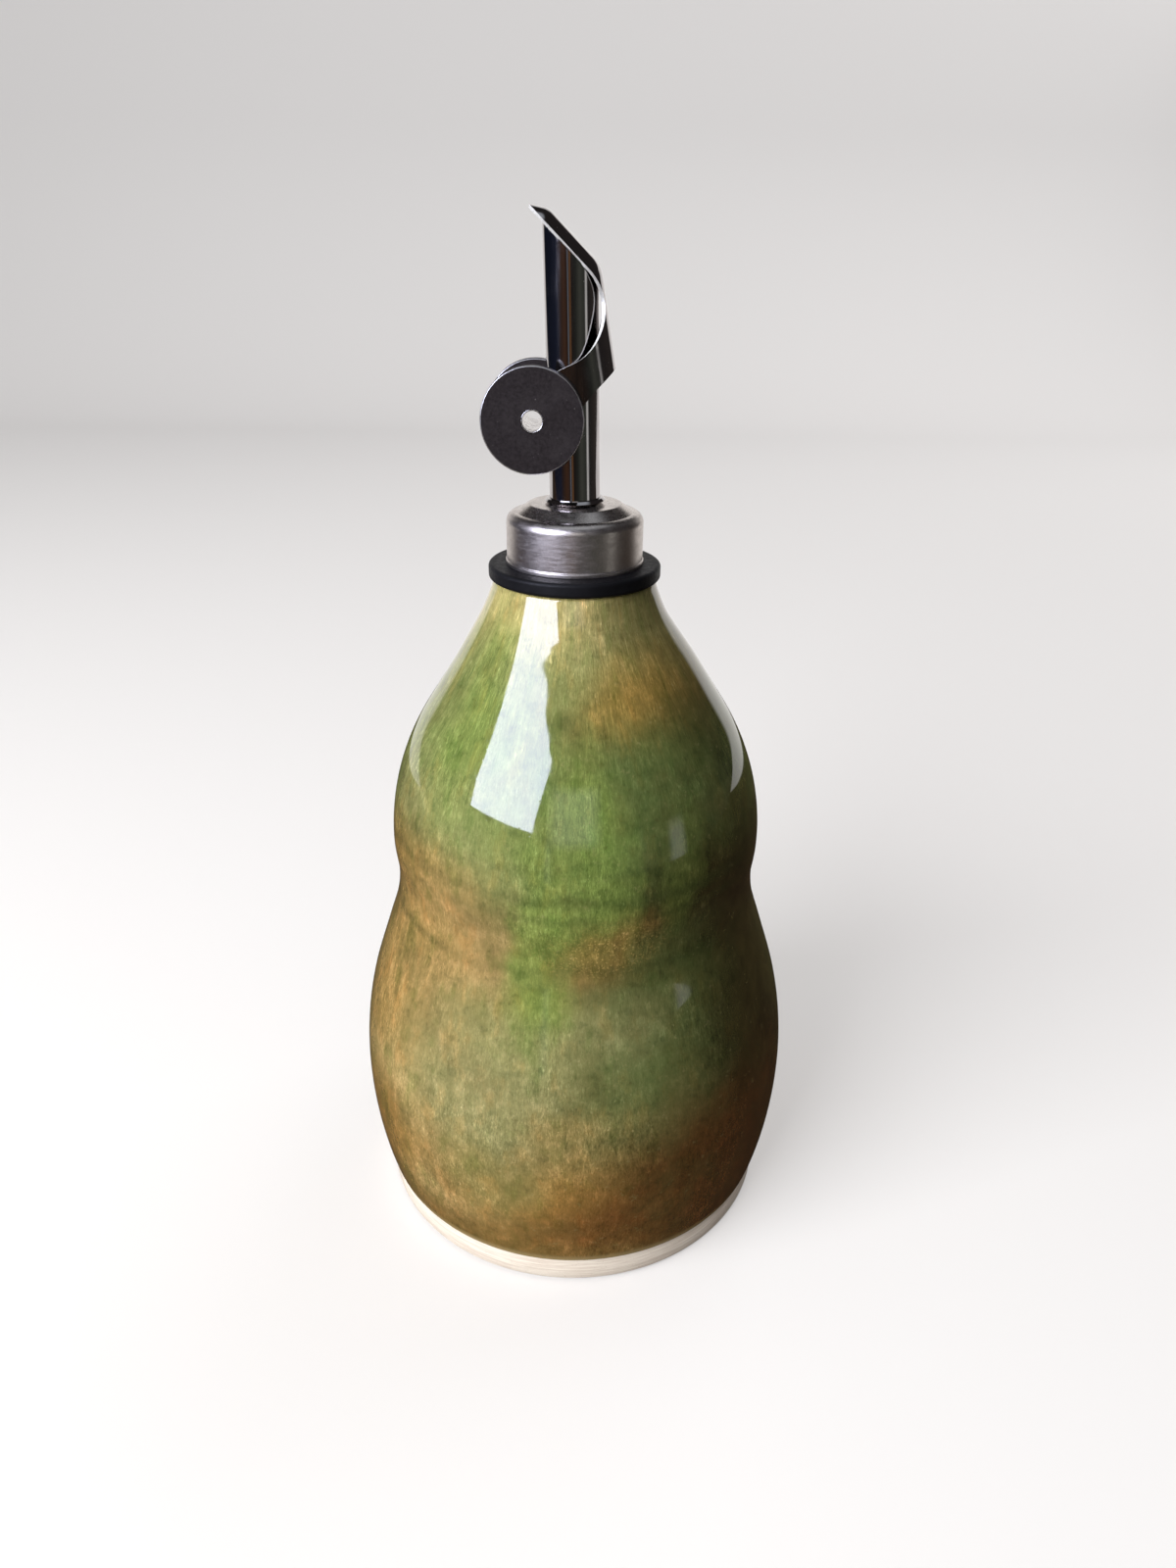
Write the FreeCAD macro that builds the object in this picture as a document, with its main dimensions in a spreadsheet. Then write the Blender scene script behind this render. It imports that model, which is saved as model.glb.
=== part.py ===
import FreeCAD, Part
import math
import os
import re

import Sketcher
from FreeCAD import Placement, Rotation, Vector

# An oil jar: a thrown, glazed stoneware bottle closed by a pourer. The pourer is a rubber flange,
# a spun steel collar and a slant-cut pour tube, with a weighted flap that falls open when the jar
# is tipped towards -X. The origin is the centre of the foot on the table, and +Z is up.
#
# Driving dimensions, in millimetres and degrees. Every height is measured from the one before it.
SIZES = (
    # Bottle
    ("foot_radius", 43.8, "bare clay foot"),
    ("foot_bevel", 0.8, "bevel where the foot meets the table"),
    ("foot_height", 6.5, "bare clay below the glaze"),
    ("glaze_lip", 0.6, "step from the clay out to the edge of the glaze"),
    ("belly_radius", 47.7, "widest part"),
    ("belly_rise", 25.5, "from the glaze edge up to the widest part"),
    ("belly_share", 0.67, "roundness of the belly, up to 1 with the next"),
    ("waist_share", 0.26, "roundness of the waist"),
    ("waist_radius", 37.95, "narrowest part of the middle"),
    ("waist_rise", 48.4, "from the widest part up to the waist"),
    ("shoulder_swell", 0.65, "how far the shoulder stands out past the waist"),
    ("shoulder_rise", 7.0, "from the waist up to the shoulder"),
    ("crease_share", 0.45, "roundness of the waist and of the shoulder between the two"),
    ("shoulder_share", 0.67, "roundness of the shoulder, up to 1 with the next"),
    ("neck_share", 0.2, "roundness of the neck"),
    ("neck_radius", 16.9, "straight top of the neck"),
    ("neck_rise", 54.0, "from the shoulder up to the neck"),
    ("neck_lip", 0.6, "straight height of the neck below the flange"),
    # Stopper
    ("stopper_shift", -0.6, "the stopper sits a little to the pouring side"),
    ("flange_radius", 16.5, "rubber flange"),
    ("flange_height", 2.8, "rubber flange"),
    ("flange_round", 0.7, "rounded edges of the rubber flange"),
    ("collar_radius", 12.95, "steel collar wall"),
    ("collar_rim", 0.2, "rolled lower rim of the collar, past the wall"),
    ("collar_rim_height", 0.7, "rolled lower rim of the collar"),
    ("collar_wall", 8.4, "collar's height up to its rounded edge"),
    ("crease_radius", 10.95, "crease between the rounded edge and the cone"),
    ("crease_rise", 1.2, "from the wall up to the crease"),
    ("plate_radius", 8.65, "flat top of the collar"),
    ("plate_rise", 1.5, "from the crease up to the flat top"),
    # Pour tube
    ("spout_lean", 1.4, "lean of the tube towards the pouring side"),
    ("tube_radius", 4.75, "outside of the pour tube"),
    ("tube_wall", 0.6, "wall of the pour tube"),
    ("tube_height", 42.3, "middle of the slanted mouth, above the collar"),
    ("mouth_angle", 45.0, "slant of the mouth"),
    ("foot_gap", 0.15, "tube foot above the collar, so that its lean clears it"),
    ("bead_width", 0.9, "bead round the foot of the tube"),
    # Hinge
    ("pivot_height", 19.5, "hinge pin above the collar"),
    ("pin_radius", 1.0, "hinge pin"),
    ("pin_play", 0.05, "radial play of the flap on its pin"),
    ("pin_recess", 0.2, "pin end short of the outside of the ear"),
    # Flap
    ("sheet_thickness", 0.6, "steel sheet of the flap"),
    ("side_play", 0.55, "gap between the tube and each side of the flap"),
    ("seat_gap", 0.3, "gap between the flap's rim and the mouth"),
    ("lid_crown", 1.8, "height of the lid's crown over its rim"),
    ("lid_spread", 1.8, "radius across the lid, past half the flap's width"),
    ("lid_overhang", 0.5, "back of the lid past the tube"),
    ("tip_angle", 13.0, "slope of the lid's tip"),
    ("tip_overhang", 2.05, "tip past the side of the tube"),
    ("saddle_spread", 0.5, "radius across the saddle, past half the flap's width"),
    ("saddle_out", 2.95, "low end of the saddle past the tube"),
    ("saddle_up", 4.1, "low end of the saddle, up from the pin"),
    ("heel_out", 3.6, "lower corner of the ear, out from the tube's axis"),
    ("heel_up", 0.4, "lower corner of the ear, up from the pin"),
    ("side_share", 0.487, "curve of the side edge, of the height from the pin to the lid's rim"),
    ("side_out", 1.1, "reach of the side edge past the tube"),
    ("ear_round", 5.5, "rounded end of the ear"),
    # Weights
    ("weight_radius", 9.15, "round steel weight"),
    ("weight_thickness", 2.2, "round steel weight"),
    ("weight_round", 0.25, "softened rim of the weight"),
    ("weight_drop", 3.8, "middle of the weights below the pin"),
    ("rivet_radius", 2.05, "hollow rivet through the weights"),
    ("rivet_bore", 1.75, "bore of the hollow rivet"),
    ("rivet_play", 0.03, "radial play of the rivet in its holes"),
    ("rivet_recess", 0.1, "rivet end below the face of the weight"),
    ("rivet_gap", 0.3, "gap between the rivet and the tube"),
)

# Lengths that several pieces share.
RIM_HEIGHT = "(foot_height + belly_rise + waist_rise + shoulder_rise + neck_rise + neck_lip)"
COLLAR_HEIGHT = "(collar_wall + crease_rise + plate_rise)"
MOUTH_RIM = "(tube_height + seat_gap / cos(mouth_angle))"
LID_TOP = "(tube_height + (seat_gap + lid_crown) / cos(mouth_angle))"
TIP_X = "(-(tube_radius + tip_overhang))"
TIP_Z = f"({MOUTH_RIM} + (tube_radius + tip_overhang) * tan(mouth_angle))"
LID_BACK_X = "(tube_radius + lid_overhang)"
LID_BACK_Z = f"({LID_TOP} - {LID_BACK_X} * tan(mouth_angle))"
SADDLE_X = "(tube_radius + saddle_out)"
SADDLE_Z = "(pivot_height + saddle_up)"
SADDLE_SLOPE = f"(atan2({LID_BACK_Z} - {SADDLE_Z}; {SADDLE_X} - {LID_BACK_X}) / 1deg)"
SIDE_BEND = f"(side_share * ({MOUTH_RIM} - tube_radius * tan(mouth_angle) - pivot_height))"
EAR_INSIDE = "(tube_radius + side_play)"
EAR_OUTSIDE = f"({EAR_INSIDE} + sheet_thickness)"
LID_ARCH = f"({EAR_OUTSIDE} + lid_spread)"
SADDLE_ARCH = f"({EAR_OUTSIDE} + saddle_spread)"
RIVET_X = "(-(tube_radius + rivet_gap + rivet_radius))"
RIVET_Z = "(pivot_height - weight_drop)"
WEIGHT_OUTSIDE = f"({EAR_OUTSIDE} + weight_thickness)"

doc = FreeCAD.newDocument("oil_jar")
sheet = doc.addObject("Spreadsheet::Sheet", "Sizes")
for row, (alias, amount, meaning) in enumerate(SIZES, start=1):
    sheet.set(f"A{row}", meaning)
    sheet.set(f"B{row}", str(amount))
    sheet.setAlias(f"B{row}", alias)
doc.recompute()


def sized(formula):
    """The formula with every size name (the words with an underscore) pointed at the sheet."""
    return re.sub(r"[a-z]+(?:_[a-z]+)+", lambda found: "Sizes." + found.group(), formula)


def number(formula):
    """What a formula of size names comes to now."""
    result = sheet.evalExpression(sized(formula))
    return float(getattr(result, "Value", result))


def bind(thing, field, formula):
    """Tie one property of a document object to a formula of size names."""
    thing.setExpression(field, sized(formula))


def place(thing, x, z, turn="0"):
    """Put a piece at (x, z) in the plane y = 0, turned about +Y by an angle in degrees."""
    angle = number(turn)
    thing.Placement = Placement(Vector(number(x), 0, number(z)), Rotation(Vector(0, 1, 0), angle))
    bind(thing, "Placement.Base.x", x)
    bind(thing, "Placement.Base.z", z)
    if angle:
        bind(thing, "Placement.Rotation.Angle", turn)


def place_on_rim(thing):
    """Put a piece of the stopper on the bottle's rim."""
    place(thing, "stopper_shift", RIM_HEIGHT)


def place_on_collar(thing):
    """Put a piece of the spout on the collar, leaning with the tube."""
    place(thing, "stopper_shift", RIM_HEIGHT + " + flange_height + " + COLLAR_HEIGHT, "-spout_lean")


def new_body(label):
    body = doc.addObject("PartDesign::Body", label)
    body.Label = label
    return body


def new_sketch(body, name, role):
    """A sketch on one of the body's own origin planes."""
    sketch = body.newObject("Sketcher::SketchObject", name)
    plane = next(item for item in body.Origin.OriginFeatures if item.Role == role)
    sketch.AttachmentSupport = [(plane, "")]
    sketch.MapMode = "FlatFace"
    return sketch


def limit(sketch, kind, formula, *where):
    """Add a dimension to a sketch and tie it to the sheet."""
    amount = math.radians(number(formula)) if kind == "Angle" else number(formula)
    index = sketch.addConstraint(Sketcher.Constraint(kind, *where, amount))
    sketch.setExpression(f"Constraints[{index}]", sized(formula))


ORIGIN = (-1, 1)
ACROSS_AXIS = -1
UP_AXIS = -2
START, END, CENTRE = 1, 2, 3


def pin_point(sketch, edge, end, across=None, up=None):
    """Fix a point of a sketch at a distance across and up; "0" lays it on the sketch's axis."""
    if across == "0":
        sketch.addConstraint(Sketcher.Constraint("PointOnObject", edge, end, UP_AXIS))
    elif across:
        limit(sketch, "DistanceX", across, *ORIGIN, edge, end)
    if up == "0":
        sketch.addConstraint(Sketcher.Constraint("PointOnObject", edge, end, ACROSS_AXIS))
    elif up:
        limit(sketch, "DistanceY", up, *ORIGIN, edge, end)


def join(sketch, first, second, tangent=False):
    """Join the end of one edge to the start of the next."""
    kind = "Tangent" if tangent else "Coincident"
    sketch.addConstraint(Sketcher.Constraint(kind, *first, *second))


def polygon(sketch, corners):
    """A closed outline of straight lines through corners given as (across, up) formulas."""
    points = [Vector(number(across), number(up), 0) for across, up in corners]
    count = len(points)
    for index in range(count):
        sketch.addGeometry(Part.LineSegment(points[index], points[(index + 1) % count]))
    for index in range(count):
        join(sketch, (index, END), ((index + 1) % count, START))
    for index, (across, up) in enumerate(corners):
        pin_point(sketch, index, START, across, up)


def circle(sketch, radius, across="0", up="0"):
    """A circle in a sketch, given by formulas."""
    centre = Vector(number(across), number(up), 0)
    index = sketch.addGeometry(Part.Circle(centre, Vector(0, 0, 1), number(radius)))
    pin_point(sketch, index, CENTRE, across, up)
    limit(sketch, "Radius", radius, index)


def pad(body, sketch, length, midplane=False):
    feature = body.newObject("PartDesign::Pad", sketch.Name + "_pad")
    feature.Profile = sketch
    feature.Midplane = midplane
    bind(feature, "Length", length)
    return feature


def pocket(body, sketch, length):
    """Cut a sketch out of a body, half the length to each side of the sketch."""
    doc.recompute()
    before = body.Shape.Volume
    feature = body.newObject("PartDesign::Pocket", sketch.Name + "_cut")
    feature.Profile = sketch
    feature.Midplane = True
    bind(feature, "Length", length)
    doc.recompute()
    if not body.Shape.Volume < before:
        raise RuntimeError(sketch.Name + " cuts nothing")
    return feature


def revolve(body, sketch):
    """Turn a sketch about the body's own +Z."""
    feature = body.newObject("PartDesign::Revolution", sketch.Name + "_turned")
    feature.Profile = sketch
    feature.ReferenceAxis = (sketch, ["V_Axis"])
    feature.Angle = 360
    return feature


def arc(sketch, centre, radius, first_angle, last_angle):
    """An arc that runs counter-clockwise between two angles, in radians."""
    whole = Part.Circle(Vector(*centre, 0), Vector(0, 0, 1), radius)
    return sketch.addGeometry(Part.ArcOfCircle(whole, first_angle, last_angle))


def line(sketch, first, last):
    return sketch.addGeometry(Part.LineSegment(Vector(*first, 0), Vector(*last, 0)))


def s_curve(sketch, below, low, high, low_share, high_share):
    """An arc, a straight run and an arc that climb from one upright point of the wall to the next.

    low and high are (radius, height) formulas, and below is the end of the edge under them. Each
    arc's radius is its share of the radii that two arcs alone would have, so that with shares
    that add up to less than one the curve exists for any two points.
    """
    low_radius, low_height = (number(part) for part in low)
    high_radius, high_height = (number(part) for part in high)
    climb = f"(({high[1]}) - ({low[1]}))"
    swing = f"abs(({high[0]}) - ({low[0]}))"
    both = f"(({climb}^2 + {swing}^2) / (2 * {swing}))"
    lower = number(f"{low_share} * {both}")
    upper = number(f"{high_share} * {both}")
    across = lower + upper - number(swing)
    rise = number(climb)
    turn = math.atan2(rise, across) - math.acos((lower + upper) / math.hypot(across, rise))
    outward = math.copysign(1, high_radius - low_radius)
    low_centre = (low_radius + outward * lower, low_height)
    high_centre = (high_radius - outward * upper, high_height)
    if outward < 0:
        first = arc(sketch, low_centre, lower, 0, turn)
        second = arc(sketch, high_centre, upper, math.pi, math.pi + turn)
        first_ends, second_ends = (START, END), (END, START)
    else:
        first = arc(sketch, low_centre, lower, math.pi - turn, math.pi)
        second = arc(sketch, high_centre, upper, -turn, 0)
        first_ends, second_ends = (END, START), (START, END)
    run = line(
        sketch,
        (low_centre[0] - outward * lower * math.cos(turn), low_height + lower * math.sin(turn)),
        (high_centre[0] + outward * upper * math.cos(turn), high_height - upper * math.sin(turn)),
    )
    join(sketch, below, (first, first_ends[0]))
    pin_point(sketch, first, CENTRE, up=low[1])
    limit(sketch, "Radius", f"{low_share} * {both}", first)
    join(sketch, (first, first_ends[1]), (run, START), tangent=True)
    join(sketch, (run, END), (second, second_ends[0]), tangent=True)
    pin_point(sketch, second, CENTRE, up=high[1])
    limit(sketch, "Radius", f"{high_share} * {both}", second)
    pin_point(sketch, second, second_ends[1], high[0], high[1])
    return second, second_ends[1]


def make_bottle():
    """The whole bottle as one solid: it is shut and opaque, so its inside is not modelled."""
    body = new_body("bottle")
    sketch = new_sketch(body, "bottle_outline", "XZ_Plane")
    edge = "(foot_radius + glaze_lip)"
    belly = ("belly_radius", "(foot_height + belly_rise)")
    waist = ("waist_radius", "(foot_height + belly_rise + waist_rise)")
    shoulder = (
        "(waist_radius + shoulder_swell)",
        "(foot_height + belly_rise + waist_rise + shoulder_rise)",
    )
    neck = ("neck_radius", f"({RIM_HEIGHT} - neck_lip)")
    corners = (
        ("0", "0"),
        ("(foot_radius - foot_bevel)", "0"),
        ("foot_radius", "foot_bevel"),
        ("foot_radius", "foot_height"),
        (edge, "foot_height"),
    )
    points = [(number(across), number(up)) for across, up in corners]
    for index in range(len(points) - 1):
        line(sketch, points[index], points[index + 1])
        pin_point(sketch, index, START, *corners[index])
        if index:
            join(sketch, (index - 1, END), (index, START))
    glaze_edge = (len(points) - 2, END)
    pin_point(sketch, *glaze_edge, *corners[-1])

    step = number(belly[0]) - points[-1][0]
    rise = number("belly_rise")
    radius = (rise**2 + step**2) / (2 * step)
    centre = (number(belly[0]) - radius, number(belly[1]))
    lower_belly = arc(sketch, centre, radius, -math.asin(rise / radius), 0)
    join(sketch, glaze_edge, (lower_belly, START))
    pin_point(sketch, lower_belly, CENTRE, up=belly[1])
    pin_point(sketch, lower_belly, END, *belly)

    at_waist = s_curve(sketch, (lower_belly, END), belly, waist, "belly_share", "waist_share")
    at_shoulder = s_curve(sketch, at_waist, waist, shoulder, "crease_share", "crease_share")
    at_neck = s_curve(sketch, at_shoulder, shoulder, neck, "shoulder_share", "neck_share")

    rim = ("neck_radius", RIM_HEIGHT)
    side = line(sketch, [number(part) for part in neck], [number(part) for part in rim])
    top = line(sketch, [number(part) for part in rim], (0, number(RIM_HEIGHT)))
    axis = line(sketch, (0, number(RIM_HEIGHT)), (0, 0))
    join(sketch, at_neck, (side, START))
    join(sketch, (side, END), (top, START))
    join(sketch, (top, END), (axis, START))
    join(sketch, (axis, END), (0, START))
    pin_point(sketch, side, END, *rim)
    pin_point(sketch, top, END, "0", RIM_HEIGHT)
    revolve(body, sketch)
    return body


def make_flange():
    body = new_body("stopper_flange")
    sketch = new_sketch(body, "flange_disc", "XY_Plane")
    circle(sketch, "flange_radius")
    disc = pad(body, sketch, "flange_height")
    soften(body, disc, "flange_radius", "flange_round")
    place_on_rim(body)
    return body


def soften(body, disc, disc_radius, rounding):
    """Round both rims of a disc, the circles with the disc's own radius."""
    doc.recompute()
    rims = []
    for index, edge in enumerate(disc.Shape.Edges, start=1):
        is_circle = isinstance(edge.Curve, Part.Circle)
        if is_circle and math.isclose(edge.Curve.Radius, number(disc_radius), abs_tol=1e-6):
            rims.append(f"Edge{index}")
    fillet = body.newObject("PartDesign::Fillet", disc.Name + "_rounded")
    fillet.Base = (disc, rims)
    bind(fillet, "Radius", rounding)


def make_collar():
    body = new_body("collar")
    sketch = new_sketch(body, "collar_outline", "XZ_Plane")
    rim = "(collar_radius + collar_rim)"
    polygon(
        sketch,
        (
            ("0", "flange_height"),
            (rim, "flange_height"),
            (rim, "(flange_height + collar_rim_height)"),
            ("collar_radius", "(flange_height + collar_rim_height + collar_rim)"),
            ("collar_radius", "(flange_height + collar_wall)"),
            ("crease_radius", "(flange_height + collar_wall + crease_rise)"),
            ("plate_radius", "(flange_height + collar_wall + crease_rise + plate_rise)"),
            ("0", "(flange_height + collar_wall + crease_rise + plate_rise)"),
        ),
    )
    revolve(body, sketch)
    place_on_rim(body)
    return body


def make_pour_tube():
    body = new_body("pour_tube")
    sketch = new_sketch(body, "tube_outline", "XZ_Plane")
    bore = "(tube_radius - tube_wall)"
    bead = "(tube_radius + bead_width)"
    top = "(tube_height + tube_radius * tan(mouth_angle) + tube_wall)"
    polygon(
        sketch,
        (
            (bore, "foot_gap"),
            ("(tube_radius + bead_width / 2)", "foot_gap"),
            (bead, "(foot_gap + bead_width / 2)"),
            ("(tube_radius + bead_width / 2)", "(foot_gap + bead_width)"),
            ("tube_radius", "(foot_gap + bead_width)"),
            ("tube_radius", top),
            (bore, top),
        ),
    )
    revolve(body, sketch)

    mouth = new_sketch(body, "mouth_slant", "XZ_Plane")
    reach = "(2 * tube_radius)"
    polygon(
        mouth,
        (
            ("-" + reach, "(tube_height + 2 * tube_radius * tan(mouth_angle))"),
            (reach, "(tube_height - 2 * tube_radius * tan(mouth_angle))"),
            (reach, "(tube_height + 2 * tube_radius * tan(mouth_angle))"),
        ),
    )
    pocket(body, mouth, "(4 * tube_radius)")
    hole = new_sketch(body, "pin_hole", "XZ_Plane")
    circle(hole, "pin_radius", up="pivot_height")
    pocket(body, hole, "(4 * tube_radius)")
    place_on_collar(body)
    return body


def make_hinge_pin():
    body = new_body("hinge_pin")
    sketch = new_sketch(body, "pin_end", "XZ_Plane")
    circle(sketch, "pin_radius", up="pivot_height")
    pad(body, sketch, f"2 * ({EAR_OUTSIDE} - pin_recess)", midplane=True)
    place_on_collar(body)
    return body


def make_flap_side():
    """The flap seen along its hinge, as a block as wide as the flap.

    The lid's rim runs straight down from the tip, a bend leads it into the ear's upper edge, the
    ear ends round the rivet, and a straight lower edge climbs to the heel and past the saddle.
    """
    body = new_body("flap_side")
    sketch = new_sketch(body, "flap_outline", "XZ_Plane")
    far = f"(3 * {SADDLE_X})"
    above = f"({TIP_Z} + {LID_ARCH})"
    heel_z = "(pivot_height + heel_up)"
    climb = f"((saddle_up - heel_up) / ({SADDLE_X} - heel_out))"
    toe_z = f"({heel_z} + ({far} - heel_out) * {climb})"

    tip = (number(TIP_X), number(TIP_Z))
    heel = (number("heel_out"), number(heel_z))
    toe = (number(far), number(toe_z))
    rivet = (number(RIVET_X), number(RIVET_Z))
    ear_round = number("ear_round")
    bend = number(SIDE_BEND)
    middle_x = f"(tube_radius + side_out - {SIDE_BEND})"

    def beside(point, distance, angle):
        return (point[0] + distance * math.cos(angle), point[1] + distance * math.sin(angle))

    # The bend touches the rim from below. The ear's upper edge crosses from the bend to the ear's
    # round end, and touches both.
    off_rim = math.pi / 2 - math.radians(number("mouth_angle"))
    rim_line = tip[0] * math.cos(off_rim) + tip[1] * math.sin(off_rim) - bend
    middle_z = (rim_line - number(middle_x) * math.cos(off_rim)) / math.sin(off_rim)
    middle = (number(middle_x), middle_z)
    apart = math.hypot(middle[0] - rivet[0], middle[1] - rivet[1])
    upward = math.atan2(middle[1] - rivet[1], middle[0] - rivet[0])
    off_ear = math.pi / 2 + upward - math.asin((bend + ear_round) / apart)
    ear_top = beside(rivet, ear_round, off_ear)
    bend_top = beside(middle, bend, off_rim)
    bend_low = beside(middle, bend, off_ear - math.pi)
    reach = math.hypot(rivet[0] - heel[0], rivet[1] - heel[1])
    towards = math.atan2(rivet[1] - heel[1], rivet[0] - heel[0]) + 2 * math.pi
    off_low = towards + math.asin(ear_round / reach) + math.pi / 2
    ear_low = beside(rivet, ear_round, off_low)

    rim = line(sketch, tip, bend_top)
    curve = arc(sketch, middle, bend, off_ear - math.pi, off_rim)
    upper = line(sketch, bend_low, ear_top)
    end = arc(sketch, rivet, ear_round, off_ear, off_low)
    lower = line(sketch, ear_low, heel)
    foot = line(sketch, heel, toe)
    back = line(sketch, toe, (toe[0], number(above)))
    top = line(sketch, (toe[0], number(above)), (tip[0], number(above)))
    front = line(sketch, (tip[0], number(above)), tip)
    join(sketch, (rim, END), (curve, END), tangent=True)
    join(sketch, (curve, START), (upper, START), tangent=True)
    join(sketch, (upper, END), (end, START), tangent=True)
    join(sketch, (end, END), (lower, START), tangent=True)
    for edge, following in ((lower, foot), (foot, back), (back, top), (top, front), (front, rim)):
        join(sketch, (edge, END), (following, START))
    pin_point(sketch, rim, START, TIP_X, TIP_Z)
    pin_point(sketch, foot, START, "heel_out", heel_z)
    pin_point(sketch, back, START, far, toe_z)
    pin_point(sketch, top, START, far, above)
    pin_point(sketch, front, START, TIP_X, above)
    pin_point(sketch, end, CENTRE, RIVET_X, RIVET_Z)
    limit(sketch, "Radius", "ear_round", end)
    limit(sketch, "Radius", SIDE_BEND, curve)
    pin_point(sketch, curve, CENTRE, across=middle_x)
    limit(sketch, "Angle", "-mouth_angle", rim)
    pad(body, sketch, f"2 * {EAR_OUTSIDE}", midplane=True)
    return body


def make_roof(name, crown_x, crown_z, slope, arch, drop):
    """Everything under an arched ridge that runs through a point and slopes down towards +X.

    drop lowers the ridge, square to its slope, without moving the middle of its arch.
    """
    reach = "(3 * tube_height)"
    spare = "(0.3 * side_play)"
    ridge = doc.addObject("Part::Cylinder", name + "_arch")
    bind(ridge, "Radius", f"{arch} - {drop}")
    bind(ridge, "Height", "2 * " + reach)
    place(ridge, arch, "-" + reach)
    under = doc.addObject("Part::Box", name + "_under")
    bind(under, "Length", reach)
    bind(under, "Width", f"2 * ({EAR_OUTSIDE} - {drop} + {spare})")
    bind(under, "Height", "2 * " + reach)
    place(under, arch, "-" + reach)
    bind(under, "Placement.Base.y", f"-({EAR_OUTSIDE} - {drop} + {spare})")
    roof = doc.addObject("Part::Fuse", name)
    roof.Base = ridge
    roof.Tool = under
    place(roof, crown_x, crown_z, f"90 + {slope}")
    return roof


def make_flap():
    """One bent sheet: a pointed lid, a saddle round the back of the tube, and two ears."""
    ridges = (
        ("tip", TIP_X, TIP_Z, "tip_angle", LID_ARCH),
        ("lid", "0", LID_TOP, "mouth_angle", LID_ARCH),
        ("saddle", SADDLE_X, SADDLE_Z, SADDLE_SLOPE, SADDLE_ARCH),
    )
    outer = [make_flap_side()]
    inner = []
    for name, crown_x, crown_z, slope, arch in ridges:
        outer.append(make_roof(name + "_outer", crown_x, crown_z, slope, arch, "0"))
        inner.append(make_roof(name + "_inner", crown_x, crown_z, slope, arch, "sheet_thickness"))
    between = doc.addObject("Part::Box", "between_sides")
    for field in ("Length", "Height"):
        bind(between, field, "6 * tube_height")
    bind(between, "Width", f"2 * {EAR_INSIDE}")
    place(between, "-3 * tube_height", "-3 * tube_height")
    bind(between, "Placement.Base.y", "-" + EAR_INSIDE)
    inner.append(between)
    outside = doc.addObject("Part::MultiCommon", "flap_outside")
    outside.Shapes = outer
    inside = doc.addObject("Part::MultiCommon", "flap_inside")
    inside.Shapes = inner
    shell = doc.addObject("Part::Cut", "flap_shell")
    shell.Base = outside
    shell.Tool = inside
    holes = []
    for name, radius, across, up in (
        ("pivot_hole", "pin_radius + pin_play", "0", "pivot_height"),
        ("rivet_hole", "rivet_radius + rivet_play", RIVET_X, RIVET_Z),
    ):
        drill = doc.addObject("Part::Cylinder", name)
        bind(drill, "Radius", radius)
        bind(drill, "Height", f"4 * {EAR_OUTSIDE}")
        start = Vector(number(across), number(f"2 * {EAR_OUTSIDE}"), number(up))
        drill.Placement = Placement(start, Rotation(Vector(1, 0, 0), 90))
        bind(drill, "Placement.Base.x", across)
        bind(drill, "Placement.Base.y", f"2 * {EAR_OUTSIDE}")
        bind(drill, "Placement.Base.z", up)
        holes.append(drill)
    drills = doc.addObject("Part::Fuse", "flap_holes")
    drills.Base, drills.Tool = holes
    flap = doc.addObject("Part::Cut", "flap")
    flap.Label = "flap"
    flap.Base = shell
    flap.Tool = drills
    place_on_collar(flap)
    return flap


def make_weight(label, side):
    """One round weight, outside the ear on one side."""
    body = new_body(label)
    sketch = new_sketch(body, label + "_disc", "XZ_Plane")
    circle(sketch, "weight_radius", RIVET_X, RIVET_Z)
    circle(sketch, "rivet_radius + rivet_play", RIVET_X, RIVET_Z)
    bind(sketch, "AttachmentOffset.Base.z", f"{-side} * {EAR_OUTSIDE}")
    disc = pad(body, sketch, "weight_thickness")
    disc.Reversed = side > 0
    soften(body, disc, "weight_radius", "weight_round")
    place_on_collar(body)
    return body


def make_weight_rivet():
    body = new_body("weight_rivet")
    sketch = new_sketch(body, "rivet_end", "XZ_Plane")
    circle(sketch, "rivet_radius", RIVET_X, RIVET_Z)
    circle(sketch, "rivet_bore", RIVET_X, RIVET_Z)
    pad(body, sketch, f"2 * ({WEIGHT_OUTSIDE} - rivet_recess)", midplane=True)
    place_on_collar(body)
    return body


pieces = [
    make_bottle(),
    make_flange(),
    make_collar(),
    make_pour_tube(),
    make_hinge_pin(),
    make_flap(),
    make_weight("weight_front", -1),
    make_weight("weight_back", 1),
    make_weight_rivet(),
]
doc.recompute()

for thing in doc.Objects:
    if {"Invalid", "Error"} & set(thing.State):
        raise RuntimeError(f"{thing.Label} did not build: {thing.State}")
for piece in pieces:
    if piece.Shape.isNull() or not piece.Shape.isValid() or len(piece.Shape.Solids) != 1:
        raise RuntimeError(piece.Label + " is not one valid solid")

os.makedirs("parts", exist_ok=True)
for piece in pieces:
    piece.Shape.exportStep(f"parts/{piece.Label}.step")
    box = piece.Shape.BoundBox
    print(
        f"{piece.Label:16s} {piece.Shape.Volume:12.1f} mm3"
        f"  x {box.XMin:7.2f} {box.XMax:7.2f}"
        f"  y {box.YMin:7.2f} {box.YMax:7.2f}"
        f"  z {box.ZMin:7.2f} {box.ZMax:7.2f}"
    )
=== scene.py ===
import math

import bmesh
import bpy
import numpy as np
from mathutils import Matrix, Vector, noise


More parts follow.
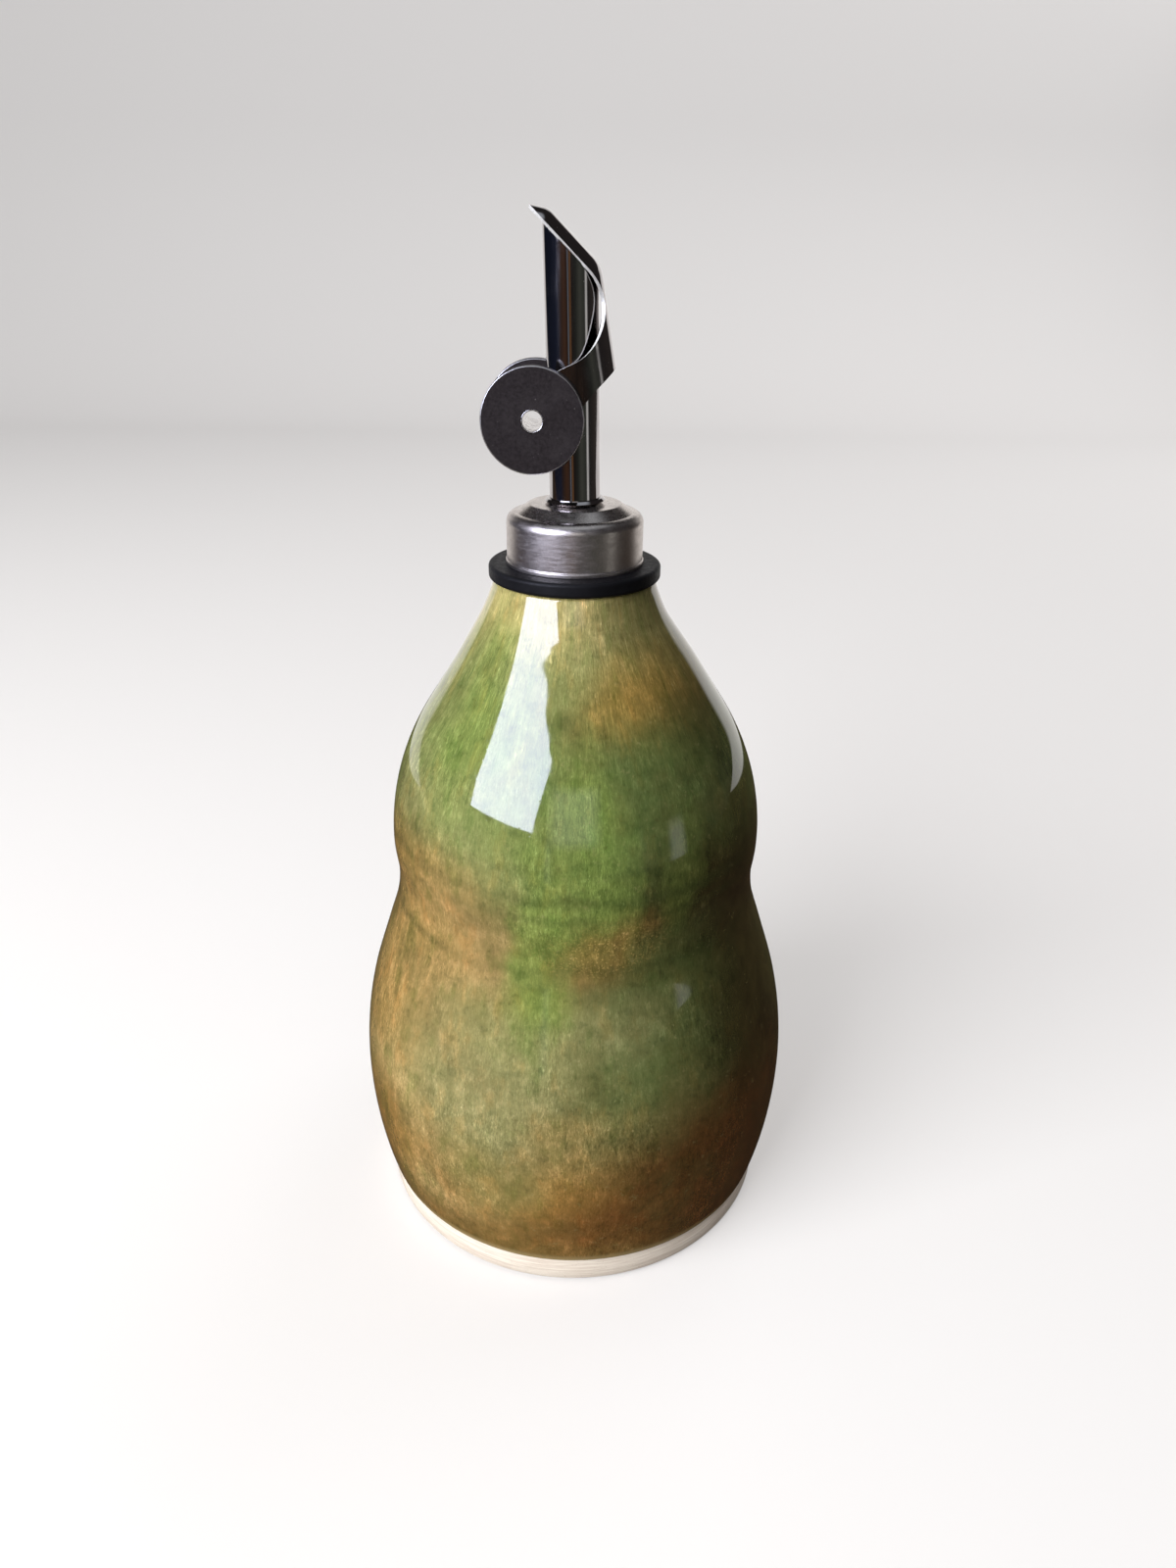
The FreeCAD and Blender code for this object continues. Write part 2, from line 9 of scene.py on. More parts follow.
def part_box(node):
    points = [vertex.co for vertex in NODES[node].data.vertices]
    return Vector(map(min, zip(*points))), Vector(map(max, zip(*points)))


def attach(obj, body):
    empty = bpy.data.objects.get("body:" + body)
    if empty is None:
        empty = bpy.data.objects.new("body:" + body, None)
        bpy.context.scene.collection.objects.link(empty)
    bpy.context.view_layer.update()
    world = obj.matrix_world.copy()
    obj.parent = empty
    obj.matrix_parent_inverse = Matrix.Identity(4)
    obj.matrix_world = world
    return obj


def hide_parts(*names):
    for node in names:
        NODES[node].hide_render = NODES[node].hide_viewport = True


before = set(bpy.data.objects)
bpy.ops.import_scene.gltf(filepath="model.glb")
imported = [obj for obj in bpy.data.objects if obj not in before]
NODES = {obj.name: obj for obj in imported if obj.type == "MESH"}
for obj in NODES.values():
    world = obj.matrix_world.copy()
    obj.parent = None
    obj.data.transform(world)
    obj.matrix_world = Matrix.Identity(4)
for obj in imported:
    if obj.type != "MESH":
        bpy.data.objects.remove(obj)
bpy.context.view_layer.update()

# The looks of an oil jar round its CAD frame: a glazed stoneware bottle on a bare clay foot, and a
# steel pourer with a weighted flap. Lengths are in metres, and MM turns millimetres into them.
MM = 0.001
LEAN = math.radians(1.4)                  # the spout leans to -X
FOOT_TOP = 6.5 * MM                       # where the glaze ends, above the bare clay foot
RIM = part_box("bottle")[1].z               # top of the bottle
COLLAR_LOW, COLLAR_HIGH = (corner.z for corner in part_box("collar"))
STOPPER_X = 0.5 * (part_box("collar")[0].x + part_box("collar")[1].x)


def clamp(value):
    """The value, cut to between 0 and 1."""
    return min(max(value, 0.0), 1.0)


# ---------------------------------------------------------------- nodes of a material

class Shader:
    """A small helper that adds nodes to one material and joins them up."""

    def __init__(self, name):
        self.material = bpy.data.materials.new(name)
        self.material.use_nodes = True
        self.tree = self.material.node_tree
        self.surface = self.tree.nodes["Principled BSDF"]
        self.place = self.add("ShaderNodeTexCoord").outputs["Object"]

    def add(self, kind, inputs=None, **settings):
        node = self.tree.nodes.new(kind)
        for field, value in settings.items():
            setattr(node, field, value)
        for socket, value in (inputs or {}).items():
            self.feed(node.inputs[socket], value)
        return node

    def feed(self, socket, value):
        """Join a node's output to the socket, or set the socket to a number or colour."""
        if isinstance(value, bpy.types.NodeSocket):
            self.tree.links.new(value, socket)
        else:
            socket.default_value = value

    def math(self, operation, first, second=0.0):
        node = self.add("ShaderNodeMath", operation=operation)
        self.feed(node.inputs[0], first)
        self.feed(node.inputs[1], second)
        return node.outputs[0]

    def ramp(self, value, low, high, out_low=0.0, out_high=1.0):
        """A smooth step from out_low, where the value is low, to out_high, where it is high."""
        inputs = {"Value": value, "From Min": low, "From Max": high,
                  "To Min": out_low, "To Max": out_high}
        node = self.add("ShaderNodeMapRange", inputs, interpolation_type="SMOOTHSTEP")
        return node.outputs["Result"]

    def mix(self, share, first, second, blend="MIX"):
        """The first colour, with the second one over it as strongly as the share says."""
        node = self.add("ShaderNodeMix", data_type="RGBA", blend_type=blend)
        self.feed(node.inputs["Factor"], share)
        self.feed(node.inputs["A"], first)
        self.feed(node.inputs["B"], second)
        return node.outputs["Result"]

    def stretched(self, scale):
        """Coordinates scaled along X, Y and Z, so that noise makes lines."""
        node = self.add("ShaderNodeMapping", {"Vector": self.place, "Scale": scale})
        return node.outputs["Vector"]

    def noise(self, scale, detail=3.0, roughness=0.5, vector=None, distortion=0.0):
        """Noise between 0 and 1, finer with a larger scale."""
        inputs = {"Vector": vector or self.place, "Scale": scale, "Detail": detail,
                  "Roughness": roughness, "Distortion": distortion}
        return self.add("ShaderNodeTexNoise", inputs).outputs["Fac"]

    def round_and_up(self, around, up):
        """Coordinates that run round the axis and up it, so that noise makes streaks or rings."""
        split = self.add("ShaderNodeSeparateXYZ", {"Vector": self.place})
        angle = self.math("ARCTAN2", split.outputs["X"], self.math("MULTIPLY", split.outputs["Y"], -1.0))
        joined = self.add("ShaderNodeCombineXYZ", {
            "X": self.math("MULTIPLY", self.math("SINE", angle), around),
            "Y": self.math("MULTIPLY", self.math("COSINE", angle), around),
            "Z": self.math("MULTIPLY", split.outputs["Z"], up),
        })
        return joined.outputs["Vector"]

    def height(self):
        """The height above the table."""
        return self.add("ShaderNodeSeparateXYZ", {"Vector": self.place}).outputs["Z"]

    def bump(self, height, strength, distance, below=None):
        """Relief of that height, on top of the relief below."""
        inputs = {"Height": height, "Strength": strength, "Distance": distance}
        if below is not None:
            inputs["Normal"] = below
        return self.add("ShaderNodeBump", inputs).outputs["Normal"]

    def finish(self, **sockets):
        """Set the surface's sockets, named with _ for a space, and give the material."""
        for name, value in sockets.items():
            self.feed(self.surface.inputs[name.replace("_", " ")], value)
        return self.material


def tone(red, green, blue):
    """A colour in linear light."""
    return (red, green, blue, 1.0)


def darker(colour, share):
    """That share of a colour's light."""
    red, green, blue = colour[:3]
    return tone(share * red, share * green, share * blue)


# ---------------------------------------------------------------- glaze and clay

OCHRE = tone(0.46, 0.385, 0.150)
TAN = tone(0.32, 0.205, 0.065)
PINK_TAN = tone(0.34, 0.235, 0.092)
PALE_TAN = tone(0.44, 0.31, 0.120)
LEAF = tone(0.155, 0.215, 0.055)
BRIGHT_LEAF = tone(0.170, 0.235, 0.050)
SAGE = tone(0.215, 0.225, 0.080)
GREY_SAGE = tone(0.255, 0.238, 0.098)
OLIVE = tone(0.155, 0.140, 0.048)
MOSS = tone(0.085, 0.118, 0.034)
AMBER = tone(0.30, 0.185, 0.042)
RUSSET = tone(0.32, 0.175, 0.045)
BRONZE = tone(0.27, 0.150, 0.042)
UMBER = tone(0.100, 0.040, 0.010)
RUST = tone(0.150, 0.062, 0.016)
# Dark olive glaze, darkened further with painted shade where the right side lies in shadow.
OLIVE_IN_PAINTED_SHADE = tone(0.028, 0.021, 0.006)

# The glaze's ground colours, by their share of the bottle's height.
GROUND = (
    (0.0, BRONZE),
    (0.18, OLIVE),
    (0.36, SAGE),
    (0.55, OLIVE),
    (0.66, LEAF),
    (0.86, SAGE),
    (0.95, OCHRE),
)
# Pools of colour: azimuth from the front in degrees, the height of the middle above the table,
# width and tallness in millimetres, strength and colour. Later ones lie over earlier ones. The dark olive
# pools on the right side are the glaze's colour darkened further with painted shade.
POOLS = (
    (-60, 118, 80, 60, 0.8, SAGE),
    (-40, 120, 26, 44, 0.6, LEAF),
    (-34, 100, 50, 26, 0.7, GREY_SAGE),
    (2, 110, 46, 46, 0.85, LEAF),
    (14, 129, 36, 18, 0.6, SAGE),
    (10, 139, 50, 12, 0.6, OCHRE),
    (24, 117, 30, 20, 0.6, OLIVE),
    (58, 136, 30, 16, 0.8, OLIVE),
    (43, 122, 30, 20, 0.9, AMBER),
    (40, 112, 40, 20, 0.7, MOSS),
    (30, 100, 36, 30, 0.75, MOSS),
    (66, 104, 46, 50, 0.9, MOSS),
    (72, 114, 34, 44, 0.6, OLIVE_IN_PAINTED_SHADE),
    (112, 100, 60, 80, 0.85, LEAF),
    (-60, 88, 50, 20, 0.8, TAN),
    (-66, 84, 34, 14, 0.7, RUSSET),
    (-30, 78, 44, 26, 0.95, PINK_TAN),
    (-60, 64, 60, 50, 0.9, TAN),
    (-34, 58, 40, 30, 0.7, PINK_TAN),
    (-58, 53, 36, 24, 0.85, TAN),
    (-48, 34, 56, 26, 0.95, PALE_TAN),
    (-56, 26, 40, 26, 0.85, RUSSET),
    (-24, 48, 46, 32, 0.8, GREY_SAGE),
    (-14, 63, 26, 16, 0.6, SAGE),
    (48, 90, 56, 24, 0.9, OLIVE_IN_PAINTED_SHADE),
    (12, 83, 26, 15, 1.0, BRONZE),
    (52, 78, 50, 26, 0.9, OLIVE_IN_PAINTED_SHADE),
    (30, 69, 40, 18, 0.8, MOSS),
    (30, 81, 30, 12, 0.6, MOSS),
    (5, 60, 40, 24, 0.7, GREY_SAGE),
    (6, 50, 30, 16, 0.45, OLIVE),
    (32, 53, 44, 34, 0.8, MOSS),
    (64, 50, 56, 76, 0.95, OLIVE_IN_PAINTED_SHADE),
    (-14, 40, 34, 26, 0.75, GREY_SAGE),
    (0, 44, 24, 14, 0.6, TAN),
    (16, 40, 36, 20, 0.7, OLIVE),
    (-32, 24, 34, 22, 0.9, PALE_TAN),
    (-4, 26, 50, 26, 0.9, RUSSET),
    (34, 26, 46, 34, 0.85, UMBER),
    (-20, 30, 22, 18, 0.5, SAGE),
    (-54, 26, 26, 14, 0.7, RUSSET),
    (54, 22, 48, 50, 0.9, UMBER),
    (-8, 12, 80, 10, 0.7, BRONZE),
    (26, 17, 66, 16, 0.75, RUST),
    (150, 110, 70, 60, 0.7, LEAF),
    (-150, 70, 60, 40, 0.7, AMBER),
    (-120, 105, 60, 60, 0.7, LEAF),
    (180, 50, 80, 60, 0.6, SAGE),
    (118, 62, 66, 50, 0.8, SAGE),
    (106, 26, 56, 40, 0.7, TAN),
    (-140, 25, 70, 36, 0.7, BRONZE),
)
# Narrow runs of bright green glaze that flowed down: the same, without the colour.
RUNS = (
    (6, 102, 8, 36, 0.6),
    (16, 96, 5, 24, 0.35),
    (-8, 82, 11, 38, 0.85),
    (2, 92, 16, 10, 0.4),
    (-44, 118, 9, 44, 0.4),
    (34, 94, 9, 20, 0.3),
    (100, 96, 10, 40, 0.6),
    (160, 80, 12, 50, 0.7),
    (-110, 90, 10, 46, 0.6),
    (-165, 100, 9, 40, 0.5),
)
# How many times its own size a pool, or a run's width, is where it has faded out.
FADE = 1.5
RUN_FADE = 1.6

# Streaks that run down: how fine their noise is round the bottle and up it, its detail, roughness
# and distortion, and how strong the light and the dark streaks are.
STREAKS = (
    (20.0, 120.0, 5.0, 0.65, 0.4, 0.42, 0.30),
    (66.0, 380.0, 6.0, 0.72, 0.3, 0.70, 0.52),
    (170.0, 1100.0, 4.0, 0.70, 0.2, 0.70, 0.56),
)
# Painted shade along the throwing rings of the waist, as darker lines: height and half the width in
# millimetres, and strength.
RING_PAINTED_SHADE = ((91.5, 2.2, 0.42), (87.5, 1.6, 0.30), (75.5, 2.0, 0.40), (97.0, 1.8, 0.20))
# The waist's brown pool, which has golden specks: azimuth, height, width and tallness as above.
BROWN_POOL = (10, 84, 30, 14)


def wavy_place(shader):
    """The object's coordinates, pushed about by some millimetres, so that pools get wavy edges."""
    reach = 22 * MM
    inputs = {"Vector": shader.place, "Scale": 28.0, "Detail": 4.0, "Roughness": 0.6}
    wave = shader.add("ShaderNodeTexNoise", inputs).outputs["Color"]
    centred = shader.add("ShaderNodeVectorMath", {0: wave, 1: (0.5, 0.5, 0.5)}, operation="SUBTRACT")
    shift = shader.add("ShaderNodeVectorMath", {0: centred.outputs[0], "Scale": reach}, operation="SCALE")
    moved = shader.add("ShaderNodeVectorMath", {0: shader.place, 1: shift.outputs[0]}, operation="ADD")
    return moved.outputs[0]


def pool(shader, place, profile, azimuth, up, width, tall):
    """A soft spot on the wall, 1 in its middle and 0 at its edge, with its sizes in millimetres."""
    deep = 25                             # how far it reaches through the wall
    angle = math.radians(azimuth)
    radius = float(profile(up * MM))
    mapping = shader.add("ShaderNodeMapping", {
        "Vector": place,
        "Location": (radius * math.sin(angle), -radius * math.cos(angle), up * MM),
        "Rotation": (0, 0, angle),
        "Scale": (0.5 * width * MM, deep * MM, 0.5 * tall * MM),
    }, vector_type="TEXTURE")
    spot = shader.add("ShaderNodeTexGradient", {"Vector": mapping.outputs[0]}, gradient_type="SPHERICAL")
    return spot.outputs["Fac"]


def glaze_pools(shader, height, place, profile):
    """The ground colour, with the pools and then the runs over it, each fading out past its edge."""
    bands = shader.add("ShaderNodeValToRGB", {"Fac": shader.math("MULTIPLY", height, 1 / RIM)})
    bands.color_ramp.interpolation = "EASE"
    stops = bands.color_ramp.elements
    for index, (where, ground) in enumerate(GROUND):
        stop = stops[index] if index < 2 else stops.new(where)
        stop.position = where
        stop.color = ground
    colour = bands.outputs["Color"]
    for azimuth, up, width, tall, strength, paint in POOLS:
        spot = pool(shader, place, profile, azimuth, up, FADE * width, FADE * tall)
        colour = shader.mix(shader.ramp(spot, 0.0, 0.75, 0.0, strength), colour, paint)
    for azimuth, up, width, tall, strength in RUNS:
        spot = pool(shader, place, profile, azimuth, up, RUN_FADE * width, FADE * tall)
        colour = shader.mix(shader.ramp(spot, 0.0, 0.7, 0.0, strength), colour, BRIGHT_LEAF)
    return colour


def glaze_streaks(shader, colour, patchy):
    """Wide, coarse and fine streaks that run down, stronger in some places than in others."""
    light, dark = tone(1.85, 1.80, 2.00), tone(0.28, 0.34, 0.30)
    for around, up, detail, roughness, distortion, light_most, dark_most in STREAKS:
        streaks = shader.noise(1.0, detail, roughness, shader.round_and_up(around, up), distortion)
        share = shader.math("MULTIPLY", patchy, shader.ramp(streaks, 0.50, 0.72, 0.0, light_most))
        colour = shader.mix(share, colour, light, "MULTIPLY")
        share = shader.math("MULTIPLY", patchy, shader.ramp(streaks, 0.50, 0.30, 0.0, dark_most))
        colour = shader.mix(share, colour, dark, "MULTIPLY")
    return colour


def glaze_blots(shader, colour, clouds):
    """Small flecks, drawn-out blots and dark clouds."""
    fleck = shader.noise(620.0, detail=2.0, roughness=0.6)
    colour = shader.mix(shader.ramp(fleck, 0.62, 0.76, 0.0, 0.16), colour, tone(0.44, 0.38, 0.17))
    colour = shader.mix(shader.ramp(fleck, 0.38, 0.26, 0.0, 0.26), colour, tone(0.05, 0.035, 0.010))
    blots = shader.noise(1.0, 5.0, 0.62, shader.round_and_up(9.0, 110.0))
    colour = shader.mix(shader.ramp(blots, 0.52, 0.68, 0.0, 0.7), colour, tone(1.24, 1.06, 0.98), "MULTIPLY")
    colour = shader.mix(shader.ramp(blots, 0.48, 0.34, 0.0, 0.7), colour, tone(0.68, 0.80, 0.66), "MULTIPLY")
    return shader.mix(shader.ramp(clouds, 0.30, 0.58, 0.42, 0.0), colour, tone(0.10, 0.085, 0.026))


def glaze_ring_shade(shader, colour, height, clouds, patchy):
    """Painted shade: darker lines along the throwing rings, bent up and down by the clouds."""
    bend = shader.math("MULTIPLY", shader.math("SUBTRACT", clouds, 0.5), 6 * MM)
    bent = shader.math("ADD", height, bend)
    for level, thick, strength in RING_PAINTED_SHADE:
        away = shader.math("ABSOLUTE", shader.math("SUBTRACT", bent, level * MM))
        line = shader.math("MULTIPLY", shader.ramp(away, thick * MM, 0.0, 0.0, strength), patchy)
        # Each ring's line is painted shade in its groove.
        colour = shader.mix(line, colour, tone(0.030, 0.045, 0.012))
    return colour


def glaze_specks(shader, colour, patchy, brown_pool):
    """Golden specks on the brown pool of the waist, paler ones here and there, and fine mottles."""
    gold = shader.ramp(shader.noise(2300.0, detail=2.0), 0.56, 0.66, 0.0, 0.7)
    colour = shader.mix(shader.math("MULTIPLY", gold, brown_pool), colour, tone(0.55, 0.38, 0.12))
    pale = shader.noise(1.0, 2.0, 0.6, shader.round_and_up(46.0, 620.0))
    pale = shader.math("MULTIPLY", patchy, shader.ramp(pale, 0.64, 0.76, 0.0, 0.8))
    colour = shader.mix(pale, colour, tone(1.9, 1.8, 2.1), "MULTIPLY")
    mottle = shader.noise(300.0, detail=4.0, roughness=0.65)
    light, dark = tone(1.26, 1.22, 1.30), tone(0.45, 0.52, 0.48)
    colour = shader.mix(shader.ramp(mottle, 0.50, 0.68), colour, light, "MULTIPLY")
    return shader.mix(shader.ramp(mottle, 0.48, 0.32, 0.0, 0.45), colour, dark, "MULTIPLY")


def glaze_material(profile):
    """A glossy glaze of many colours, which ran down the wall and pooled."""
    shader = Shader("mottled_glaze")
    height = shader.height()
    place = wavy_place(shader)
    patchy = shader.ramp(shader.noise(38.0, detail=3.0, roughness=0.6), 0.35, 0.65, 0.35, 1.0)
    clouds = shader.noise(70.0, detail=4.0, roughness=0.6)
    colour = glaze_pools(shader, height, place, profile)
    colour = glaze_streaks(shader, colour, patchy)
    colour = glaze_blots(shader, colour, clouds)
    colour = glaze_ring_shade(shader, colour, height, clouds, patchy)
    colour = glaze_specks(shader, colour, patchy, pool(shader, place, profile, *BROWN_POOL))

    # The glaze is thin and golden at its lower edge.
    edge = shader.ramp(height, FOOT_TOP + 2.7 * MM, FOOT_TOP + 0.7 * MM, 0.0, 0.75)
    colour = shader.mix(edge, colour, tone(0.44, 0.33, 0.15))
    ripple = shader.noise(60.0, detail=2.0)
    normal = shader.bump(ripple, 0.10, 0.6 * MM)
    grains = shader.ramp(shader.noise(900.0, detail=1.0), 0.70, 0.80)
    normal = shader.bump(grains, 0.08, 0.05 * MM, below=normal)
    rough = shader.ramp(shader.noise(240.0, detail=3.0), 0.3, 0.7, 0.03, 0.075)
    return shader.finish(Base_Color=colour, Roughness=rough, IOR=1.68, Normal=normal)


def clay_material():
    """Pale bare clay with fine turning lines and dark grains."""
    shader = Shader("bare_clay")
    rings = shader.noise(1.0, 4.0, 0.7, shader.round_and_up(4.0, 2600.0))
    grain = shader.noise(1400.0, detail=3.0, roughness=0.7)
    colour = shader.mix(shader.ramp(rings, 0.35, 0.65), tone(0.66, 0.55, 0.45), tone(0.84, 0.75, 0.64))
    colour = shader.mix(shader.ramp(grain, 0.62, 0.72, 0.0, 0.4), colour, tone(0.40, 0.28, 0.20))
    normal = shader.bump(rings, 0.5, 0.10 * MM)
    normal = shader.bump(grain, 0.25, 0.05 * MM, below=normal)
    return shader.finish(Base_Color=colour, Roughness=0.72, Normal=normal)


# ---------------------------------------------------------------- metals and rubber

def polished_steel(name, base):
    """Mirror-polished steel with faint upright wipe marks and dull specks."""
    shader = Shader(name)
    wipe = shader.noise(1.0, 4.0, 0.6, shader.stretched((900, 900, 60)))
    smear = shader.noise(140.0, detail=3.0)
    speck = shader.noise(1500.0, detail=1.0)
    rough = shader.ramp(wipe, 0.35, 0.75, 0.05, 0.13)
    rough = shader.math("ADD", rough, shader.ramp(smear, 0.5, 0.75, 0.0, 0.08))
    rough = shader.math("ADD", rough, shader.ramp(speck, 0.74, 0.80, 0.0, 0.25))
    colour = shader.mix(shader.ramp(smear, 0.3, 0.7), base, darker(base, 0.86))
    normal = shader.bump(wipe, 0.03, 0.05 * MM)
    return shader.finish(Base_Color=colour, Metallic=1.0, Roughness=rough, Normal=normal)


def satin_steel(name, base, rough_low, rough_high, shiny_from=None, metallic=1.0):
    """Satin steel with fine grain round the axis and small scratches, shinier above a height."""
    shader = Shader(name)
    grain = shader.noise(1.0, 4.0, 0.7, shader.stretched((500, 500, 2400)))
    fine = shader.noise(2600.0, detail=2.0, roughness=0.7)
    cloud = shader.noise(160.0, detail=3.0)
    dark = darker(base, 0.80)
    colour = shader.mix(shader.ramp(fine, 0.38, 0.62, 0.7, 0.0), base, dark)
    colour = shader.mix(shader.ramp(cloud, 0.45, 0.7, 0.0, 0.35), colour, dark)
    rough = shader.ramp(grain, 0.3, 0.7, rough_low, rough_high)
    if shiny_from is not None:
        shine = shader.ramp(shader.height(), shiny_from, shiny_from + 0.5 * MM, 1.0, 0.75)
        rough = shader.math("MULTIPLY", rough, shine)
    scratch = shader.noise(1.0, 2.0, 0.5, shader.stretched((90, 90, 1900)))
    normal = shader.bump(fine, 0.10, 0.03 * MM)
    normal = shader.bump(grain, 0.07, 0.03 * MM, below=normal)
    normal = shader.bump(shader.ramp(scratch, 0.70, 0.74), 0.12, 0.03 * MM, below=normal)
    return shader.finish(Base_Color=colour, Metallic=metallic, Roughness=rough, Normal=normal)


def dark_steel():
    """The weights: dark grey matt faces with fine pale specks and a thin polished rim."""
    shader = Shader("dark_steel")
    rivet_low, rivet_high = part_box("weight_rivet")
    middle = 0.5 * (rivet_low + rivet_high)
    low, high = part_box("weight_front")
    wide = 0.5 * (high.z - low.z)
    flat = shader.add("ShaderNodeVectorMath", {0: shader.place, 1: (1, 0, 1)}, operation="MULTIPLY")
    points = {0: flat.outputs[0], 1: (middle.x, 0, middle.z)}
    away = shader.add("ShaderNodeVectorMath", points, operation="DISTANCE").outputs["Value"]
    inside = shader.ramp(away, wide - 0.22 * MM, wide - 0.12 * MM)
    outside = shader.ramp(away, wide - 0.01 * MM, wide - 0.04 * MM)
    rim = shader.math("MULTIPLY", inside, outside)
    fine = shader.noise(1500.0, detail=4.0, roughness=0.75)
    cloud = shader.noise(220.0, detail=4.0, roughness=0.6)
    speck = shader.noise(2100.0, detail=1.0)
    colour = shader.mix(shader.ramp(fine, 0.3, 0.7), tone(0.013, 0.010, 0.011), tone(0.026, 0.021, 0.023))
    colour = shader.mix(shader.ramp(cloud, 0.5, 0.75, 0.0, 0.5), colour, tone(0.036, 0.030, 0.032))
    colour = shader.mix(shader.ramp(speck, 0.72, 0.78, 0.0, 0.6), colour, tone(0.13, 0.12, 0.12))
    colour = shader.mix(rim, colour, tone(0.62, 0.60, 0.60))
    normal = shader.bump(fine, 0.15, 0.03 * MM)
    rough = shader.ramp(cloud, 0.3, 0.7, 0.46, 0.60)
    rough = shader.math("SUBTRACT", rough, shader.math("MULTIPLY", rim, 0.2))
    return shader.finish(Base_Color=colour, Metallic=rim, Roughness=rough, Normal=normal,
                         Specular_IOR_Level=0.12)


def rubber():
    """Black matt rubber with a faint grain."""
    shader = Shader("black_rubber")
    fine = shader.noise(1300.0, detail=3.0, roughness=0.7)
    cloud = shader.noise(120.0, detail=3.0)
    colour = shader.mix(shader.ramp(cloud, 0.3, 0.7), tone(0.004, 0.004, 0.005), tone(0.008, 0.008, 0.010))
    rough = shader.ramp(fine, 0.3, 0.7, 0.42, 0.58)
    normal = shader.bump(fine, 0.12, 0.04 * MM)
    return shader.finish(Base_Color=colour, Roughness=rough, Normal=normal, Specular_IOR_Level=0.15)


# ---------------------------------------------------------------- meshes

def add_piece(name, mesh, body, slot, *replaced):
    """A visible piece that rides on a body, instead of the CAD nodes that it replaces."""
    piece = bpy.data.objects.new(name, mesh)
    bpy.context.scene.collection.objects.link(piece)
    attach(piece, body)
    if replaced:
        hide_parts(*replaced)
    return piece


def lathe(name, outline, segments, middle_x=0.0, shift=None):
    """A mesh turned from (radius, height) points that start and end on the axis or close up.

    shift(radius, height, angle) may give another radius and height at each angle.
    """
    angles = np.linspace(0, 2 * math.pi, segments, endpoint=False)
    vertices, rings = [], []
    for radius, height in outline:
        if radius < 1e-9:
            rings.append([len(vertices)])
            vertices.append((middle_x, 0.0, height))
            continue
        if rings and (radius, height) == outline[0]:
            rings.append(rings[0])
            continue
        rings.append(list(range(len(vertices), len(vertices) + segments)))
        for angle in angles:
            out, up = (radius, height) if shift is None else shift(radius, height, angle)
            vertices.append((middle_x + out * math.sin(angle), -out * math.cos(angle), up))
    faces = []
    for low, high in zip(rings, rings[1:]):
        for index in range(segments):
            after = (index + 1) % segments
            if len(low) == 1:
                faces.append((low[0], high[after], high[index]))
            elif len(high) == 1:
                faces.append((low[index], low[after], high[0]))
            else:
                faces.append((low[index], low[after], high[after], high[index]))
    mesh = bpy.data.meshes.new(name)
    mesh.from_pydata(vertices, [], faces)
    mesh.shade_smooth()
    return mesh


def rounded(corners, steps=6):
    """An outline whose corners (radius, height, rounding) are turned into arcs of that radius."""
    points = []
    for index, (radius, height, rounding) in enumerate(corners):
        here = Vector((radius, height))
        if not rounding or index in (0, len(corners) - 1):
            points.append(tuple(here))
            continue
        before = (Vector(corners[index - 1][:2]) - here).normalized()
        after = (Vector(corners[index + 1][:2]) - here).normalized()
        half = 0.5 * before.angle(after)
        reach = rounding / math.tan(half)
        middle = here + (before + after).normalized() * (rounding / math.sin(half))
        first = (here + before * reach - middle).normalized()
        last = (here + after * reach - middle).normalized()
        for step in range(steps + 1):
            points.append(tuple(middle + rounding * first.slerp(last, step / steps)))
    return points


def bottle_profile():
    """The bottle's radius at a height, as a smooth curve through the frame's own rings, and its foot's."""
    near = 0.01 * MM
    places = np.array([vertex.co for vertex in NODES["bottle"].data.vertices])
    heights = np.round(places[:, 2], 6)
    radii = np.hypot(places[:, 0], places[:, 1])
    levels = np.unique(heights)
    widths = np.array([radii[heights == level].max() for level in levels])
    glazed = levels > FOOT_TOP + near
    first = np.argmax(levels >= FOOT_TOP - near)
    knots = np.concatenate(([levels[first]], levels[glazed]))
    sizes = np.concatenate(([widths[first]], widths[glazed]))
    slopes = np.gradient(sizes, knots)

    def radius(height):
        """Cubic pieces between the rings, which share their slopes."""
        index = np.clip(np.searchsorted(knots, height) - 1, 0, len(knots) - 2)
        span = knots[index + 1] - knots[index]
        part = np.clip((height - knots[index]) / span, 0, 1)
        squared, cubed = part**2, part**3
        return (
            (2 * cubed - 3 * squared + 1) * sizes[index]
            + (cubed - 2 * squared + part) * span * slopes[index]
            + (3 * squared - 2 * cubed) * sizes[index + 1]
            + (cubed - squared) * span * slopes[index + 1]
        )

    # The foot has its full width at the second ring, above its softened edge.
    return radius, widths[1]


# Faint throwing rings pressed into the wall: height, half the width and depth in millimetres.
THROWN_RINGS = ((86, 3.0, 0.07), (71, 4.0, 0.06), (62, 5.0, 0.04))
UNEVEN = 0.10 * MM


def thrown(out, height, angle):
    """Shallow throwing rings, a slow unevenness, and a neck that leans to -X, under the stopper."""
    even_foot, above_foot = 12 * MM, 10 * MM
    below_rim = 6 * MM
    neck, bend = 124 * MM, 12 * MM
    inward = 0.0
    tilt = 1.0 * math.sin(angle)          # the rings run up by a millimetre towards +X
    for middle, spread, depth in THROWN_RINGS:
        away = (height / MM - middle - tilt) / spread
        inward += depth * MM * math.exp(-away * away)
    wave = noise.noise(Vector((1.5 * math.sin(angle), 1.5 * math.cos(angle), height / (30 * MM))))
    inward += UNEVEN * (0.5 + 0.5 * wave)
    inward *= clamp((height - even_foot) / above_foot)
    inward *= clamp((RIM - height) / below_rim)
    rise = clamp((height - neck) / bend)
    sideways = STOPPER_X * rise * rise * (3 - 2 * rise) * math.sin(angle)
    return out - inward + sideways, height


